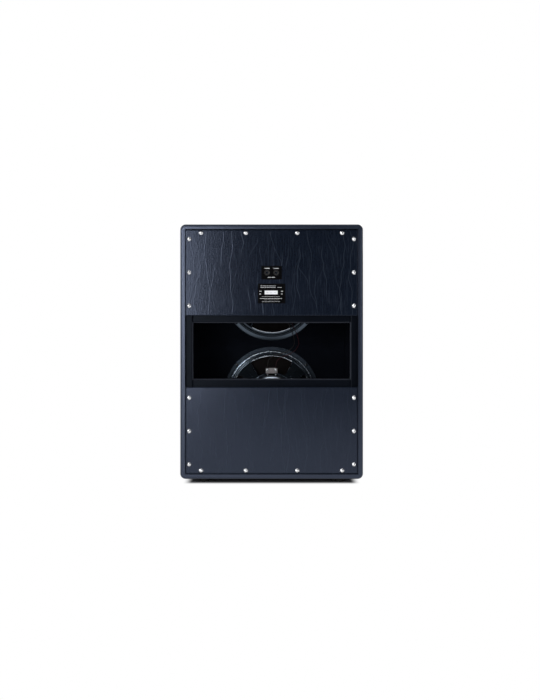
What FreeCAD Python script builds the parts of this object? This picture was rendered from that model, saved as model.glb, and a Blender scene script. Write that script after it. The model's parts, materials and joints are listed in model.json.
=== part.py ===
# Tall guitar speaker cabinet: two twelve-inch speakers, slanted upper front, partly open back.
# The front faces -Y, the floor is at Z = 0, and all lengths are in millimetres.
import FreeCAD, Part
import math
import os

Vector = FreeCAD.Vector
ORIGIN = Vector(0, 0, 0)
X_AXIS = Vector(1, 0, 0)
Y_AXIS = Vector(0, 1, 0)
Z_AXIS = Vector(0, 0, 1)

# Shell
cabinet_width = 540.0
shell_height = 752.0
cabinet_depth = 345.0
board_thickness = 13.0
covering_thickness = 1.0
corner_radius = 16.0
lip_radius = 7.0
crease_radius = 45.0
fingers = 9

# Slanted front: the crease is measured on the rear face of the baffles
slant_angle = 10.0
crease_above_middle = 12.0
front_recess = 20.0
baffle_thickness = 18.0
cloth_thickness = 1.0
cloth_slack = 0.5
cleat_size = 20.0
piping_width = 4.0
piping_height = 3.0

# Rear frame and back panels
batten_width = 23.6
end_batten_height = 21.0
batten_depth = 22.0
batten_lip = 5.0
rail_height = 40.0
upper_rail_show = 22.0
lower_rail_show = 23.4
panel_thickness = 12.0
panel_inset = 5.0
panel_gap = 1.5
panel_edge_radius = 2.5
upper_panel_height = 254.0
lower_panel_height = 256.0

# Panel screws and their cup washers
panel_screw_radius = 1.9
panel_screw_length = 28.0
panel_screw_head_radius = 4.4
panel_screw_dome = 2.2
cup_radius_outer = 6.6
cup_height = 2.0
cup_wall = 0.8
column_first = 43.0
column_pitch = 98.6
column_count = 3
row_inner_place = 76.0
row_end_inset = 35.7

# Jack plate, jacks and label
jack_plate_width = 60.0
jack_plate_height = 40.0
jack_plate_thickness = 1.5
jack_plate_corner = 2.0
jack_plate_below_top = 142.4
jack_spacing = 27.0
jack_bore_radius = 3.25
jack_bushing_radius = 4.75
jack_bushing_reach = 3.2
jack_body_size = 17.0
jack_body_length = 24.0
jack_bore_length = 26.0
jack_lug_width = 4.0
jack_lug_thickness = 0.8
jack_lug_length = 9.0
jack_lug_spread = 8.0
jack_nut_radius = 8.6
jack_nut_height = 2.2
jack_window_margin = 3.0
plate_screw_inset = 3.6
plate_screw_radius = 1.3
plate_screw_head_radius = 2.2
plate_screw_head = 1.1
plate_screw_length = 9.0
label_width = 81.0
label_height = 58.0
label_thickness = 0.4
label_below_top = 204.0

# Feet
foot_height = 12.0
foot_top_radius = 15.5
foot_bottom_radius = 14.0
foot_bore_radius = 6.0
foot_floor = 4.0
foot_inset_x = 68.0
foot_inset_y = 42.5
foot_screw_radius = 2.2
foot_screw_head_radius = 4.6
foot_screw_head = 2.6
foot_screw_length = 13.0

# Recessed side handles
handle_length = 184.0
handle_height = 104.0
handle_corner = 14.0
handle_mouth_length = 140.0
handle_mouth_height = 68.0
handle_mouth_corner = 16.0
handle_depth = 48.0
handle_wall = 3.0
handle_flange = 3.0
handle_edge_radius = 1.2
handle_mouth_radius = 2.2
handle_grip_radius = 9.5
handle_grip_rise = 13.0
handle_grip_sink = 2.0
handle_place_y = 25.0
handle_place_z = 560.0
handle_screw_inset = 10.0
handle_screw_radius = 1.8
handle_screw_head_radius = 3.6
handle_screw_head = 1.6
handle_screw_length = 12.0

# Speakers, measured along their axis from the rear face of the baffle
rim_below_crease = 11.0
rim_above_crease = 11.2
rim_below_cleat = 13.9
baffle_ledge = 13.5
gasket_thickness = 2.5
gasket_width = 11.0
basket_sheet = 1.6
basket_bend_radius = 2.0
rim_width = 12.0
rim_step_run = 2.0
rim_step_depth = 3.0
landing_width = 5.5
shoulder_run = 3.0
shoulder_depth = 16.0
shoulder_width = 6.0
ledge_radius = 75.0
ledge_depth = 68.0
basket_cup_radius = 62.0
basket_depth = 96.0
basket_hole_radius = 28.0
window_count = 4
window_half_angle = 33.0
window_rim = 2.0
window_corner = 9.0
window_corner_limit_share = 0.45
speaker_screw_inset = 6.5
speaker_screw_angle = 40.5
speaker_screw_radius = 2.3
speaker_screw_head_radius = 4.5
speaker_screw_head = 3.0
speaker_screw_length = 20.0

# Motor
top_plate_radius = 60.0
top_plate_thickness = 7.0
magnet_radius = 70.0
magnet_bore_radius = 32.0
magnet_thickness = 18.0
magnet_edge_radius = 1.5
yoke_thickness = 7.0
yoke_radius = 69.5
yoke_edge_radius = 5.0
pole_radius = 21.6
pole_vent_radius = 6.0

# Moving parts of a speaker
coil_radius = 22.2
former_wall = 0.4
winding_wall = 0.6
winding_length = 10.0
coil_overhang = 1.5
coil_gap = 0.8
former_head = 5.0
surround_width = 13.5
cone_edge_depth = 4.6
cone_neck_depth = 60.0
cone_bow = 3.5
cone_wall = 1.0
glue_gap = 0.15
dust_cap_radius = 35.0
dust_cap_rise = 14.0
dust_cap_wall = 0.8
surround_wall = 0.8
surround_roll_height = 2.0
surround_rolls = 2
surround_flat = 1.2
spider_wall = 0.8
spider_roll_height = 1.8
spider_rolls = 5
spider_flat = 3.0
soft_gap = 0.3

# Terminal strip and the braided leads from it to the cone
strip_width = 37.0
strip_low = 65.0
strip_high = 91.0
strip_thickness = 2.0
strip_rivet_radius = 2.2
strip_rivet_height = 1.2
strip_rivet_rise = 4.0
lug_spread = 26.0
lug_width = 5.0
lug_thickness = 0.8
lug_length = 12.0
lug_foot = 7.0
lug_drop = 3.0
lead_radius = 0.9
lead_cone_radius = 60.0
lead_cone_spread = 18.0
lead_sag_share = 0.42
lead_sag_depth = 17.0

# Wires: routes chosen by hand, from a jack lug to a terminal lug
wire_diameter = 2.4
bend_share = 0.45
lower_red_route = [
    (-17.5, 134.2, 621.6), (-18.5, 124.0, 619.5), (-22.0, 108.0, 607.0), (-29.0, 88.0, 580.0),
    (-38.0, 68.0, 545.0), (-48.0, 44.0, 508.0), (-62.0, 18.0, 470.0), (-79.0, -10.0, 434.0),
    (-88.0, -36.0, 404.0), (-76.0, -52.0, 380.0), (-51.0, -58.0, 366.0), (-30.0, -58.5, 359.5),
    (-17.0, -57.0, 349.0), (-13.2, -56.0, 336.0), (-13.0, -55.5, 322.4)]
lower_pale_route = [
    (-9.5, 134.2, 621.6), (-9.0, 123.5, 619.0), (-12.0, 106.0, 603.0), (-20.0, 84.0, 573.0),
    (-30.0, 62.0, 537.0), (-41.0, 38.0, 499.0), (-55.0, 11.0, 461.0), (-71.0, -18.0, 424.0),
    (-72.0, -42.0, 396.0), (-52.0, -55.0, 378.0), (-26.0, -60.0, 370.0), (-3.0, -60.0, 363.0),
    (10.0, -57.5, 351.0), (12.8, -56.0, 337.0), (13.0, -55.5, 322.4)]
upper_red_route = [
    (9.5, 134.2, 621.6), (8.5, 123.0, 620.0), (4.0, 104.0, 612.0), (-3.0, 80.0, 608.0),
    (-9.0, 55.0, 615.0), (-12.5, 33.0, 632.5), (-13.4, 15.2, 653.0), (-13.2, 0.5, 662.5),
    (-13.1, -9.0, 658.5), (-13.0, -12.1, 648.5), (-13.0, -12.5, 637.2)]
upper_pale_route = [
    (17.5, 134.2, 621.6), (18.5, 122.5, 619.5), (20.0, 102.0, 610.0), (19.0, 77.0, 605.0),
    (16.0, 52.0, 612.0), (14.0, 31.0, 630.5), (13.3, 14.2, 652.0), (13.1, 0.0, 661.5),
    (13.05, -9.2, 658.0), (13.0, -12.1, 648.5), (13.0, -12.5, 637.2)]

# Clearances and cuts
screw_clearance = 0.2
hole_clearance = 0.6
recess_clearance = 0.5
overrun = 30.0
pick_tolerance = 0.3
parallel_share = 0.9

# Worked-out places of the shell
half_width = cabinet_width / 2
half_depth = cabinet_depth / 2
wall = board_thickness + covering_thickness
inner_half_width = half_width - wall
shell_low = foot_height
shell_high = foot_height + shell_height
crease_height = shell_low + shell_height / 2 + crease_above_middle
inner_low = shell_low + wall
inner_high = shell_high - wall
slant = math.radians(slant_angle)
outer_reach = baffle_thickness + cloth_thickness + front_recess
baffle_rear = outer_reach - half_depth
panel_rear = half_depth - panel_inset
panel_front = panel_rear - panel_thickness
batten_inner = inner_half_width - batten_width
upper_panel_low = inner_high - panel_gap - upper_panel_height
lower_panel_high = inner_low + panel_gap + lower_panel_height
jack_height = shell_high - jack_plate_below_top
label_place_z = shell_high - label_below_top
plate_rear = panel_rear + jack_plate_thickness

# Worked-out places of the speakers: their rims fill the slanted bay above the crease
slanted_bay = (inner_high - cleat_size - crease_height) / math.cos(slant)
rim_radius = (slanted_bay - rim_above_crease - rim_below_cleat) / 2
lower_speaker_drop = rim_below_crease + rim_radius
upper_speaker_rise = rim_above_crease + rim_radius
cutout_radius = rim_radius - baffle_ledge
gasket_inner_radius = rim_radius - gasket_width
speaker_screw_circle_radius = rim_radius - speaker_screw_inset
rim_step_radius = rim_radius - rim_width
landing_inner_radius = rim_step_radius - rim_step_run - landing_width
shoulder_radius = landing_inner_radius - shoulder_run
cone_radius = landing_inner_radius - surround_width


def box(low, high):
    """Solid box between two corners."""
    size = Vector(*high) - Vector(*low)
    return Part.makeBox(size.x, size.y, size.z, Vector(*low))


def rod(start, axis, radius, length):
    """Solid cylinder from a point along an axis."""
    return Part.makeCylinder(radius, length, Vector(*start), axis)


def turned(points):
    """Solid of revolution about Z from an outline of (radius, height) points."""
    corners = [Vector(radius, 0, height) for radius, height in points]
    outline = Part.makePolygon(corners + corners[:1])
    return Part.Face(outline).revolve(ORIGIN, Z_AXIS, 360)


def turned_edges(edges):
    """Solid of revolution about Z from a closed run of edges in the XZ plane."""
    outline = Part.Wire(Part.__sortEdges__(edges))
    return Part.Face(outline).revolve(ORIGIN, Z_AXIS, 360)


def turned_sheet(front, thickness):
    """Thin shell of revolution behind one front edge."""
    rear = front.copy()
    rear.translate(Z_AXIS * thickness)
    closing = [line(front.valueAt(end), rear.valueAt(end)) for end in front.ParameterRange]
    return turned_edges([front, rear] + closing)


def line(start, end):
    """Straight edge between two points."""
    return Part.makeLine(start, end)


def dome(radius, base, rise, way):
    """Arc of a section from a rim to a crown on the axis, round about the axis."""
    sphere = (radius * radius + rise * rise) / (2 * rise)
    centre = base + way * (rise - sphere)
    half_angle = math.asin(radius / sphere) / 2
    middle = Vector(sphere * math.sin(half_angle), 0, centre + way * sphere * math.cos(half_angle))
    return Part.Arc(Vector(radius, 0, base), middle, Vector(0, 0, base + way * rise)).toShape()


def fused(shapes):
    """One solid from overlapping or touching shapes."""
    return shapes[0].multiFuse(shapes[1:]).removeSplitter()


def side_prism(points, low_x, high_x):
    """Prism along X over an outline of (y, z) points."""
    corners = [Vector(low_x, y, z) for y, z in points]
    outline = Part.makePolygon(corners + corners[:1])
    return Part.Face(outline).extrude(X_AXIS * (high_x - low_x))


def edges_along(shape, axis):
    """Straight edges of a shape that run along an axis."""
    return [edge for edge in shape.Edges
            if abs(edge.tangentAt(edge.FirstParameter).dot(axis)) > parallel_share]


def rounded_block(low, high, axis, radius):
    """Box whose four edges along one axis are rounded."""
    block = box(low, high)
    return block.makeFillet(radius, edges_along(block, axis))


def eased(block, keep, radius):
    """Block with its chosen edges rounded."""
    return block.makeFillet(radius, [edge for edge in block.Edges if keep(edge.CenterOfMass)])


def near(value, place):
    """Whether a coordinate is at a place, within the picking tolerance."""
    return abs(value - place) < pick_tolerance


def save(name, shapes):
    """Write one node: a single solid, or a group of solids."""
    solids = [solid for shape in shapes for solid in shape.Solids]
    shape = solids[0] if len(solids) == 1 else Part.makeCompound(solids)
    shape.exportStep("parts/" + name + ".step")


# Planes that follow the slanted front


def crease_at(reach):
    """Height of the crease of a surface that lies reach in front of the baffles' rear faces."""
    return crease_height + reach * math.tan(slant / 2)


def front_at(reach, z):
    """Depth place of that surface at a height."""
    return baffle_rear - reach + max(0, z - crease_at(reach)) * math.tan(slant)


def front_line(reach, low, high):
    """Outline points of that surface from a low to a high place."""
    heights = [low, crease_at(reach), high] if low < crease_at(reach) < high else [low, high]
    return [(front_at(reach, z), z) for z in heights]


def front_slab(rear_reach, front_reach, low, high, low_x, high_x):
    """Slab between two such surfaces."""
    outline = front_line(rear_reach, low, high) + front_line(front_reach, low, high)[::-1]
    return side_prism(outline, low_x, high_x)


# Shell


def shell_form(inset):
    """Outer form of the shell, drawn in by an inset, with rounded corners and lips."""
    half = half_width - inset
    low = shell_low + inset
    high = shell_high - inset
    rear = half_depth - inset
    reach = outer_reach - inset
    foot, crease, head = [Vector(-half - overrun, y, z)
                          for y, z in front_line(reach, low - overrun, high + overrun)]
    tangent = (crease_radius - inset) * math.tan(slant / 2)
    before = crease - Z_AXIS * tangent
    after = crease + (head - crease).normalize() * tangent
    bisector = ((before - crease).normalize() + (after - crease).normalize()).normalize()
    bulge = (crease_radius - inset) * (1 / math.cos(slant / 2) - 1)
    rear_foot = Vector(-half - overrun, rear, low - overrun)
    rear_head = Vector(-half - overrun, rear, high + overrun)
    outline = Part.Wire([
        line(foot, before), Part.Arc(before, crease + bisector * bulge, after).toShape(),
        line(after, head), line(head, rear_head), line(rear_head, rear_foot), line(rear_foot, foot)])
    block = Part.Face(outline).extrude(X_AXIS * 2 * (half + overrun))
    sleeve = rounded_block((-half, -half_depth - overrun, low), (half, half_depth + overrun, high),
                           Y_AXIS, corner_radius - inset)
    form = sleeve.common(block)
    return form.makeFillet(lip_radius - inset, lip_edges(form, reach, rear, half))


def lip_edges(form, reach, rear, half):
    """Edges round the rear face and round the slanted front face."""
    chosen = []
    for edge in form.Edges:
        ends = [edge.valueAt(edge.FirstParameter), edge.valueAt(edge.LastParameter)]
        middle = edge.valueAt((edge.FirstParameter + edge.LastParameter) / 2)
        points = ends + [middle]
        on_rear = all(abs(point.y - rear) < pick_tolerance for point in points)
        on_front = all(abs(point.y - front_at(reach, point.z)) < pick_tolerance for point in points)
        spans = abs(ends[0].x - ends[1].x) > half
        seam = spans and abs(middle.z - crease_at(reach)) < crease_radius
        if on_rear or (on_front and not seam):
            chosen.append(edge)
    return chosen


def finger_boxes(odd):
    """Every second slice of the four corner columns, for the finger joints."""
    pitch = cabinet_depth / fingers
    slices = []
    for index in range(fingers):
        if index % 2 != odd:
            continue
        start = -half_depth + index * pitch
        for low_x, high_x in ((-half_width, -inner_half_width), (inner_half_width, half_width)):
            for low_z, high_z in ((shell_low, inner_low), (inner_high, shell_high)):
                slices.append(box((low_x, start, low_z), (high_x, start + pitch, high_z)))
    return slices


def handle_prism(length, height, radius, start, end):
    """Rounded bar across the left wall at the handle's place, from a depth to another."""
    low = (start - half_width, handle_place_y - length / 2, handle_place_z - height / 2)
    high = (end - half_width, handle_place_y + length / 2, handle_place_z + height / 2)
    return rounded_block(low, high, X_AXIS, radius)


def handle_screw_places():
    """Depth and height places of one handle's screws."""
    reach_y = handle_length / 2 - handle_screw_inset
    reach_z = handle_height / 2 - handle_screw_inset
    return [(handle_place_y + side_y * reach_y, handle_place_z + side_z * reach_z)
            for side_y in (-1, 1) for side_z in (-1, 1)]


def mirrored(shape):
    """The same piece on the other side of the cabinet."""
    return shape.mirror(ORIGIN, X_AXIS)


def both_sides(shapes):
    """Left pieces and their mirror images."""
    return shapes + [mirrored(shape) for shape in shapes]


def handle_recess():
    """What the left wall loses to a handle."""
    pocket = handle_prism(handle_length + 2 * recess_clearance, handle_height + 2 * recess_clearance,
                          handle_corner + recess_clearance, -overrun, handle_flange)
    spread = 2 * (handle_wall + recess_clearance)
    hole = handle_prism(handle_mouth_length + spread, handle_mouth_height + spread,
                        handle_mouth_corner + spread / 2, -overrun, wall + overrun)
    pilots = [rod((-half_width, y, z), X_AXIS, handle_screw_radius + screw_clearance,
                  handle_flange + handle_screw_length) for y, z in handle_screw_places()]
    return [pocket, hole] + pilots


def foot_places():
    """Places of the four feet."""
    reach_x = half_width - foot_inset_x
    reach_y = half_depth - foot_inset_y
    return [(side_x * reach_x, side_y * reach_y) for side_x in (-1, 1) for side_y in (-1, 1)]


def make_shell():
    outer = shell_form(0)
    core = shell_form(covering_thickness)
    cavity = box((-inner_half_width, -half_depth - overrun, inner_low),
                 (inner_half_width, half_depth + overrun, inner_high))
    recesses = both_sides(handle_recess())
    foot_holes = [rod((x, y, 0), Z_AXIS, foot_screw_radius + screw_clearance, foot_height + wall + overrun)
                  for x, y in foot_places()]
    removed = [cavity] + recesses + foot_holes
    ring = core.cut(removed)
    save("cabinet_covering", [outer.cut([core] + removed)])

    reach = half_depth + overrun
    sides = {"left_side_board": (-half_width, -inner_half_width),
             "right_side_board": (inner_half_width, half_width)}
    for name, (low_x, high_x) in sides.items():
        slab = box((low_x, -reach, shell_low), (high_x, reach, shell_high)).cut(finger_boxes(1))
        save(name, [ring.common(slab)])
    ends = {"bottom_board": (shell_low, inner_low), "top_board": (inner_high, shell_high)}
    for name, (low_z, high_z) in ends.items():
        slab = box((-half_width, -reach, low_z), (half_width, reach, high_z)).cut(finger_boxes(0))
        save(name, [ring.common(slab)])


def at_handle_mouth(at):
    """Whether an edge's middle is on the rim of the left handle's mouth."""
    in_length = abs(at.y - handle_place_y) < handle_mouth_length / 2 + pick_tolerance
    in_height = abs(at.z - handle_place_z) < handle_mouth_height / 2 + pick_tolerance
    return near(at.x, -half_width) and in_length and in_height


def make_handles():
    flange = handle_prism(handle_length, handle_height, handle_corner, 0, handle_flange)
    flange = eased(flange, lambda at: near(at.x, -half_width), handle_edge_radius)
    dish = handle_prism(handle_mouth_length + 2 * handle_wall, handle_mouth_height + 2 * handle_wall,
                        handle_mouth_corner + handle_wall, 0, handle_depth)
    hollow = handle_prism(handle_mouth_length, handle_mouth_height, handle_mouth_corner,
                          -overrun, handle_depth - handle_wall)
    grip = rod((handle_grip_sink + handle_grip_radius - half_width,
                handle_place_y - handle_mouth_length / 2 - handle_wall / 2,
                handle_place_z + handle_grip_rise), Y_AXIS, handle_grip_radius,
               handle_mouth_length + handle_wall)
    seats = [rod((-half_width, y, z), X_AXIS, handle_screw_head_radius + screw_clearance, handle_screw_head)
             for y, z in handle_screw_places()]
    holes = [rod((-half_width, y, z), X_AXIS, handle_screw_radius + screw_clearance, handle_flange)
             for y, z in handle_screw_places()]
    dished = eased(fused([flange, dish]).cut(hollow), at_handle_mouth, handle_mouth_radius)
    handle = fused([dished, grip]).cut(seats + holes)
    save("left_handle", [handle])
    save("right_handle", [mirrored(handle)])

    screws = []
    for y, z in handle_screw_places():
        head = rod((-half_width, y, z), X_AXIS, handle_screw_head_radius, handle_screw_head)
        shank = rod((-half_width, y, z), X_AXIS, handle_screw_radius, handle_screw_length)
        screws.append(fused([head, shank]))
    save("handle_screws", both_sides(screws))


def make_feet():
    feet = []
    screws = []
    head_low = foot_height - foot_floor - foot_screw_head
    for x, y in foot_places():
        body = Part.makeCone(foot_bottom_radius, foot_top_radius, foot_height, Vector(x, y, 0))
        bore = rod((x, y, 0), Z_AXIS, foot_bore_radius, foot_height - foot_floor)
        hole = rod((x, y, 0), Z_AXIS, foot_screw_radius + screw_clearance, foot_height)
        feet.append(body.cut([bore, hole]))
        head = rod((x, y, head_low), Z_AXIS, foot_screw_head_radius, foot_screw_head)
        shank = rod((x, y, head_low), Z_AXIS, foot_screw_radius, foot_screw_head + foot_screw_length)
        screws.append(fused([head, shank]))
    save("rubber_feet", feet)
    save("foot_screws", screws)


# Rear frame, back panels and what is on them


def panel_screw_places():
    """Places of the screws, the upper panel's first."""
    column_x = inner_half_width - batten_width / 2
    places = []
    for end, way, row_z in ((shell_high, -1, inner_high - end_batten_height / 2),
                            (shell_low, 1, inner_low + end_batten_height / 2)):
        heights = [end + way * (column_first + index * column_pitch) for index in range(column_count)]
        places += [(side * column_x, z) for side in (-1, 1) for z in heights]
        places += [(side * x, row_z) for side in (-1, 1) for x in (row_inner_place, column_x - row_end_inset)]
    return places


def panel_screw_holes(radius):
    """Holes for those screws through a panel and into what is behind it."""
    return [rod((x, panel_rear, z), -Y_AXIS, radius, panel_screw_length) for x, z in panel_screw_places()]


def make_rear_frame():
    pilots = panel_screw_holes(panel_screw_radius + screw_clearance)
    batten_front = panel_front - batten_depth
    batten = box((-inner_half_width, batten_front, inner_low), (-batten_inner, panel_front, inner_high))
    batten = eased(batten, lambda at: near(at.x, -batten_inner) and near(at.y, panel_front), batten_lip)
    save("left_rear_batten", [batten.cut(pilots)])
    save("right_rear_batten", [mirrored(batten).cut(pilots)])

    ends = []
    for low, high in ((inner_low, inner_low + end_batten_height),
                      (inner_high - end_batten_height, inner_high)):
        ends.append(box((-batten_inner, batten_front, low), (batten_inner, panel_front, high)).cut(pilots))
    save("rear_end_battens", ends)

    rails = {"upper_cross_rail": (upper_panel_low - upper_rail_show, 1),
             "lower_cross_rail": (lower_panel_high + lower_rail_show, -1)}
    for name, (edge_z, way) in rails.items():
        low, high = sorted((edge_z, edge_z + way * rail_height))
        rail = box((-batten_inner, batten_front, low), (batten_inner, panel_front, high))
        rail = eased(rail, lambda at: near(at.z, edge_z) and near(at.y, panel_front), batten_lip)
        save(name, [rail])


def jack_places():
    """Sideways places of the two jacks."""
    return {"left_jack_socket": -jack_spacing / 2, "right_jack_socket": jack_spacing / 2}


def plate_screw_places():
    """Places of the jack plate's screws."""
    reach_x = jack_plate_width / 2 - plate_screw_inset
    reach_z = jack_plate_height / 2 - plate_screw_inset
    return [(side_x * reach_x, jack_height + side_z * reach_z) for side_x in (-1, 1) for side_z in (-1, 1)]


def make_back_panels():
    half = inner_half_width - panel_gap
    holes = panel_screw_holes(panel_screw_radius + hole_clearance)
    window_half = jack_spacing / 2 + jack_body_size / 2 + hole_clearance
    window_rise = jack_body_size / 2 + jack_window_margin
    window = box((-window_half, panel_front - overrun, jack_height - window_rise),
                 (window_half, panel_rear + overrun, jack_height + window_rise))
    pilots = [rod((x, panel_rear, z), -Y_AXIS, plate_screw_radius + screw_clearance, plate_screw_length)
              for x, z in plate_screw_places()]
    panels = {"upper_back_panel": (upper_panel_low, inner_high - panel_gap, [window] + pilots),
              "lower_back_panel": (inner_low + panel_gap, lower_panel_high, [])}
    for name, (low, high, cuts) in panels.items():
        panel = box((-half, panel_front, low), (half, panel_rear, high))
        panel = eased(panel, lambda at: near(at.y, panel_rear), panel_edge_radius)
        save(name, [panel.cut(holes + cuts)])


def make_panel_screws():
    washers = []
    screws = []
    hole = panel_screw_radius + screw_clearance
    seat = panel_screw_head_radius
    top = cup_height
    for x, z in panel_screw_places():
        place = FreeCAD.Placement(Vector(x, panel_rear, z), FreeCAD.Rotation(X_AXIS, -90))
        cup = turned([(hole, 0), (cup_radius_outer, 0), (cup_radius_outer - cup_wall, top / 2),
                      (seat + screw_clearance, top), (hole, cup_wall)])
        tip = cup_wall - panel_screw_length
        neck = cup_wall + screw_clearance
        corners = [Vector(0, 0, tip), Vector(panel_screw_radius, 0, tip),
                   Vector(panel_screw_radius, 0, neck), Vector(seat, 0, top)]
        sides = [line(start, end) for start, end in zip(corners, corners[1:])]
        screw = turned_edges(sides + [dome(seat, top, panel_screw_dome, 1),
                                      line(Vector(0, 0, top + panel_screw_dome), corners[0])])
        for piece, group in ((cup, washers), (screw, screws)):
            piece.Placement = place
            group.append(piece)
    save("back_panel_cup_washers", washers)
    save("back_panel_screws", screws)


def make_jacks():
    half = jack_plate_width / 2
    rise = jack_plate_height / 2
    plate = rounded_block((-half, panel_rear, jack_height - rise), (half, plate_rear, jack_height + rise),
                          Y_AXIS, jack_plate_corner)
    holes = [rod((x, panel_rear, jack_height), Y_AXIS, jack_bushing_radius + screw_clearance,
                 jack_plate_thickness) for x in jack_places().values()]
    screw_holes = [rod((x, panel_rear, z), Y_AXIS, plate_screw_radius + screw_clearance,
                       jack_plate_thickness) for x, z in plate_screw_places()]
    save("jack_plate", [plate.cut(holes + screw_holes)])

    nuts = []
    size = jack_body_size / 2
    mouth = plate_rear + jack_bushing_reach
    for name, x in jack_places().items():
        body = box((x - size, panel_rear - jack_body_length, jack_height - size),
                   (x + size, panel_rear, jack_height + size))
        bushing = rod((x, panel_rear, jack_height), Y_AXIS, jack_bushing_radius, mouth - panel_rear)
        lugs = []
        for side in (-1, 1):
            lug_x = x + side * jack_lug_spread / 2
            lugs.append(box((lug_x - jack_lug_width / 2, panel_rear - jack_body_length - jack_lug_length,
                             jack_height - jack_lug_thickness / 2),
                            (lug_x + jack_lug_width / 2, panel_rear - jack_body_length,
                             jack_height + jack_lug_thickness / 2)))
        bore = rod((x, mouth, jack_height), -Y_AXIS, jack_bore_radius, jack_bore_length)
        save(name, [fused([body, bushing] + lugs).cut(bore)])
        ring = rod((x, plate_rear, jack_height), Y_AXIS, jack_nut_radius, jack_nut_height)
        thread = rod((x, plate_rear, jack_height), Y_AXIS, jack_bushing_radius + screw_clearance,
                     jack_nut_height)
        nuts.append(ring.cut(thread))
    save("jack_nuts", nuts)

    screws = []
    for x, z in plate_screw_places():
        head = rod((x, plate_rear, z), Y_AXIS, plate_screw_head_radius, plate_screw_head)
        shank = rod((x, plate_rear, z), -Y_AXIS, plate_screw_radius, plate_screw_length)
        screws.append(fused([head, shank]))
    save("jack_plate_screws", screws)


def make_label():
    save("rating_label", [box((-label_width / 2, panel_rear, label_place_z - label_height / 2),
                              (label_width / 2, panel_rear + label_thickness,
                               label_place_z + label_height / 2))])


# Front: baffles, cleats, cloth and piping


def speaker_placements():
    """Where each speaker stands: its own X to the left seen from the front, Y up, Z to the rear."""
    lower = Vector(0, baffle_rear, crease_height - lower_speaker_drop)
    along = Vector(0, math.sin(slant), math.cos(slant))
    upper = Vector(0, baffle_rear, crease_height) + along * upper_speaker_rise
    half_turn = FreeCAD.Rotation(Z_AXIS, 180)
    return {"lower": FreeCAD.Placement(lower, FreeCAD.Rotation(X_AXIS, -90) * half_turn),
            "upper": FreeCAD.Placement(upper, FreeCAD.Rotation(X_AXIS, -90 - slant_angle) * half_turn)}


def placed(shape, placement):
    """Copy of a speaker piece at its place in the cabinet."""
    copy = shape.copy()
    copy.Placement = placement
    return copy


def speaker_screw_places():
    """Places of the four screws on a speaker's rim, alike above, below and to both sides."""
    reach_x = speaker_screw_circle_radius * math.cos(math.radians(speaker_screw_angle))
    reach_y = speaker_screw_circle_radius * math.sin(math.radians(speaker_screw_angle))
    return [(side_x * reach_x, side_y * reach_y) for side_x in (-1, 1) for side_y in (-1, 1)]


def make_front():
    half = inner_half_width - cloth_slack - cloth_thickness
    low = inner_low + cloth_slack + cloth_thickness
    high = inner_high - cloth_slack - cloth_thickness
    rear = 0
    front = baffle_thickness
    mitre = [(baffle_rear - reach, crease_at(reach)) for reach in (rear, front)]
    outlines = {
        "lower": [(baffle_rear, low), mitre[0], mitre[1], (baffle_rear - front, low)],
        "upper": [mitre[0], (front_at(rear, high), high), (front_at(front, high), high), mitre[1]]}
    for name, outline in outlines.items():
        placement = speaker_placements()[name]
        cutters = [placed(rod((0, 0, overrun), -Z_AXIS, cutout_radius, 2 * overrun), placement)]
        for x, y in speaker_screw_places():
            pilot = rod((x, y, 0), -Z_AXIS, speaker_screw_radius + screw_clearance, speaker_screw_length)
            cutters.append(placed(pilot, placement))
        save(name + "_baffle", [side_prism(outline, -half, half).cut(cutters)])

    cleat = front_slab(-cleat_size, 0, inner_low, inner_high,
                       -inner_half_width, cleat_size - inner_half_width)
    span = inner_half_width - cleat_size
    low_cleat = front_slab(-cleat_size, 0, inner_low, inner_low + cleat_size, -span, span)
    high_cleat = front_slab(-cleat_size, 0, inner_high - cleat_size, inner_high, -span, span)
    save("baffle_cleats", both_sides([cleat]) + [low_cleat, high_cleat])

    face = baffle_thickness + cloth_thickness
    sheet = front_slab(0, face, low - cloth_thickness, high + cloth_thickness,
                       -half - cloth_thickness, half + cloth_thickness)
    save("grille_cloth", [sheet.cut(front_slab(-overrun, front, low, high, -half, half))])

    outer_half = half + cloth_thickness
    bead = front_slab(face, face + piping_height, low - cloth_thickness, high + cloth_thickness,
                      -outer_half, outer_half)
    inside = box((piping_width - outer_half, -half_depth - overrun, low - cloth_thickness + piping_width),
                 (outer_half - piping_width, half_depth, high + cloth_thickness - piping_width))
    save("grille_piping", [bead.cut(inside)])


# Speaker pieces, in the speaker's own frame


def offset_path(path, distance):
    """Outline path moved sideways by a distance, with its corners mitred."""
    normals = []
    for (r0, z0), (r1, z1) in zip(path, path[1:]):
        length = math.hypot(r1 - r0, z1 - z0)
        normals.append(((z1 - z0) / length, (r0 - r1) / length))
    moved = []
    for index, (r, z) in enumerate(path):
        first = normals[max(0, index - 1)]
        second = normals[min(index, len(normals) - 1)]
        scale = distance / (1 + first[0] * second[0] + first[1] * second[1])
        moved.append((r + (first[0] + second[0]) * scale, z + (first[1] + second[1]) * scale))
    return moved


landing_depth = gasket_thickness + rim_step_depth
base_rear = basket_depth + basket_sheet
magnet_start = base_rear + top_plate_thickness
yoke_start = magnet_start + magnet_thickness
yoke_end = yoke_start + yoke_thickness
former_radius = coil_radius + former_wall
winding_radius = former_radius + winding_wall
window_outer_radius = shoulder_radius - shoulder_width
window_inner_radius = ledge_radius + window_rim
strip_rear = ledge_depth + basket_sheet + strip_thickness


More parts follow.
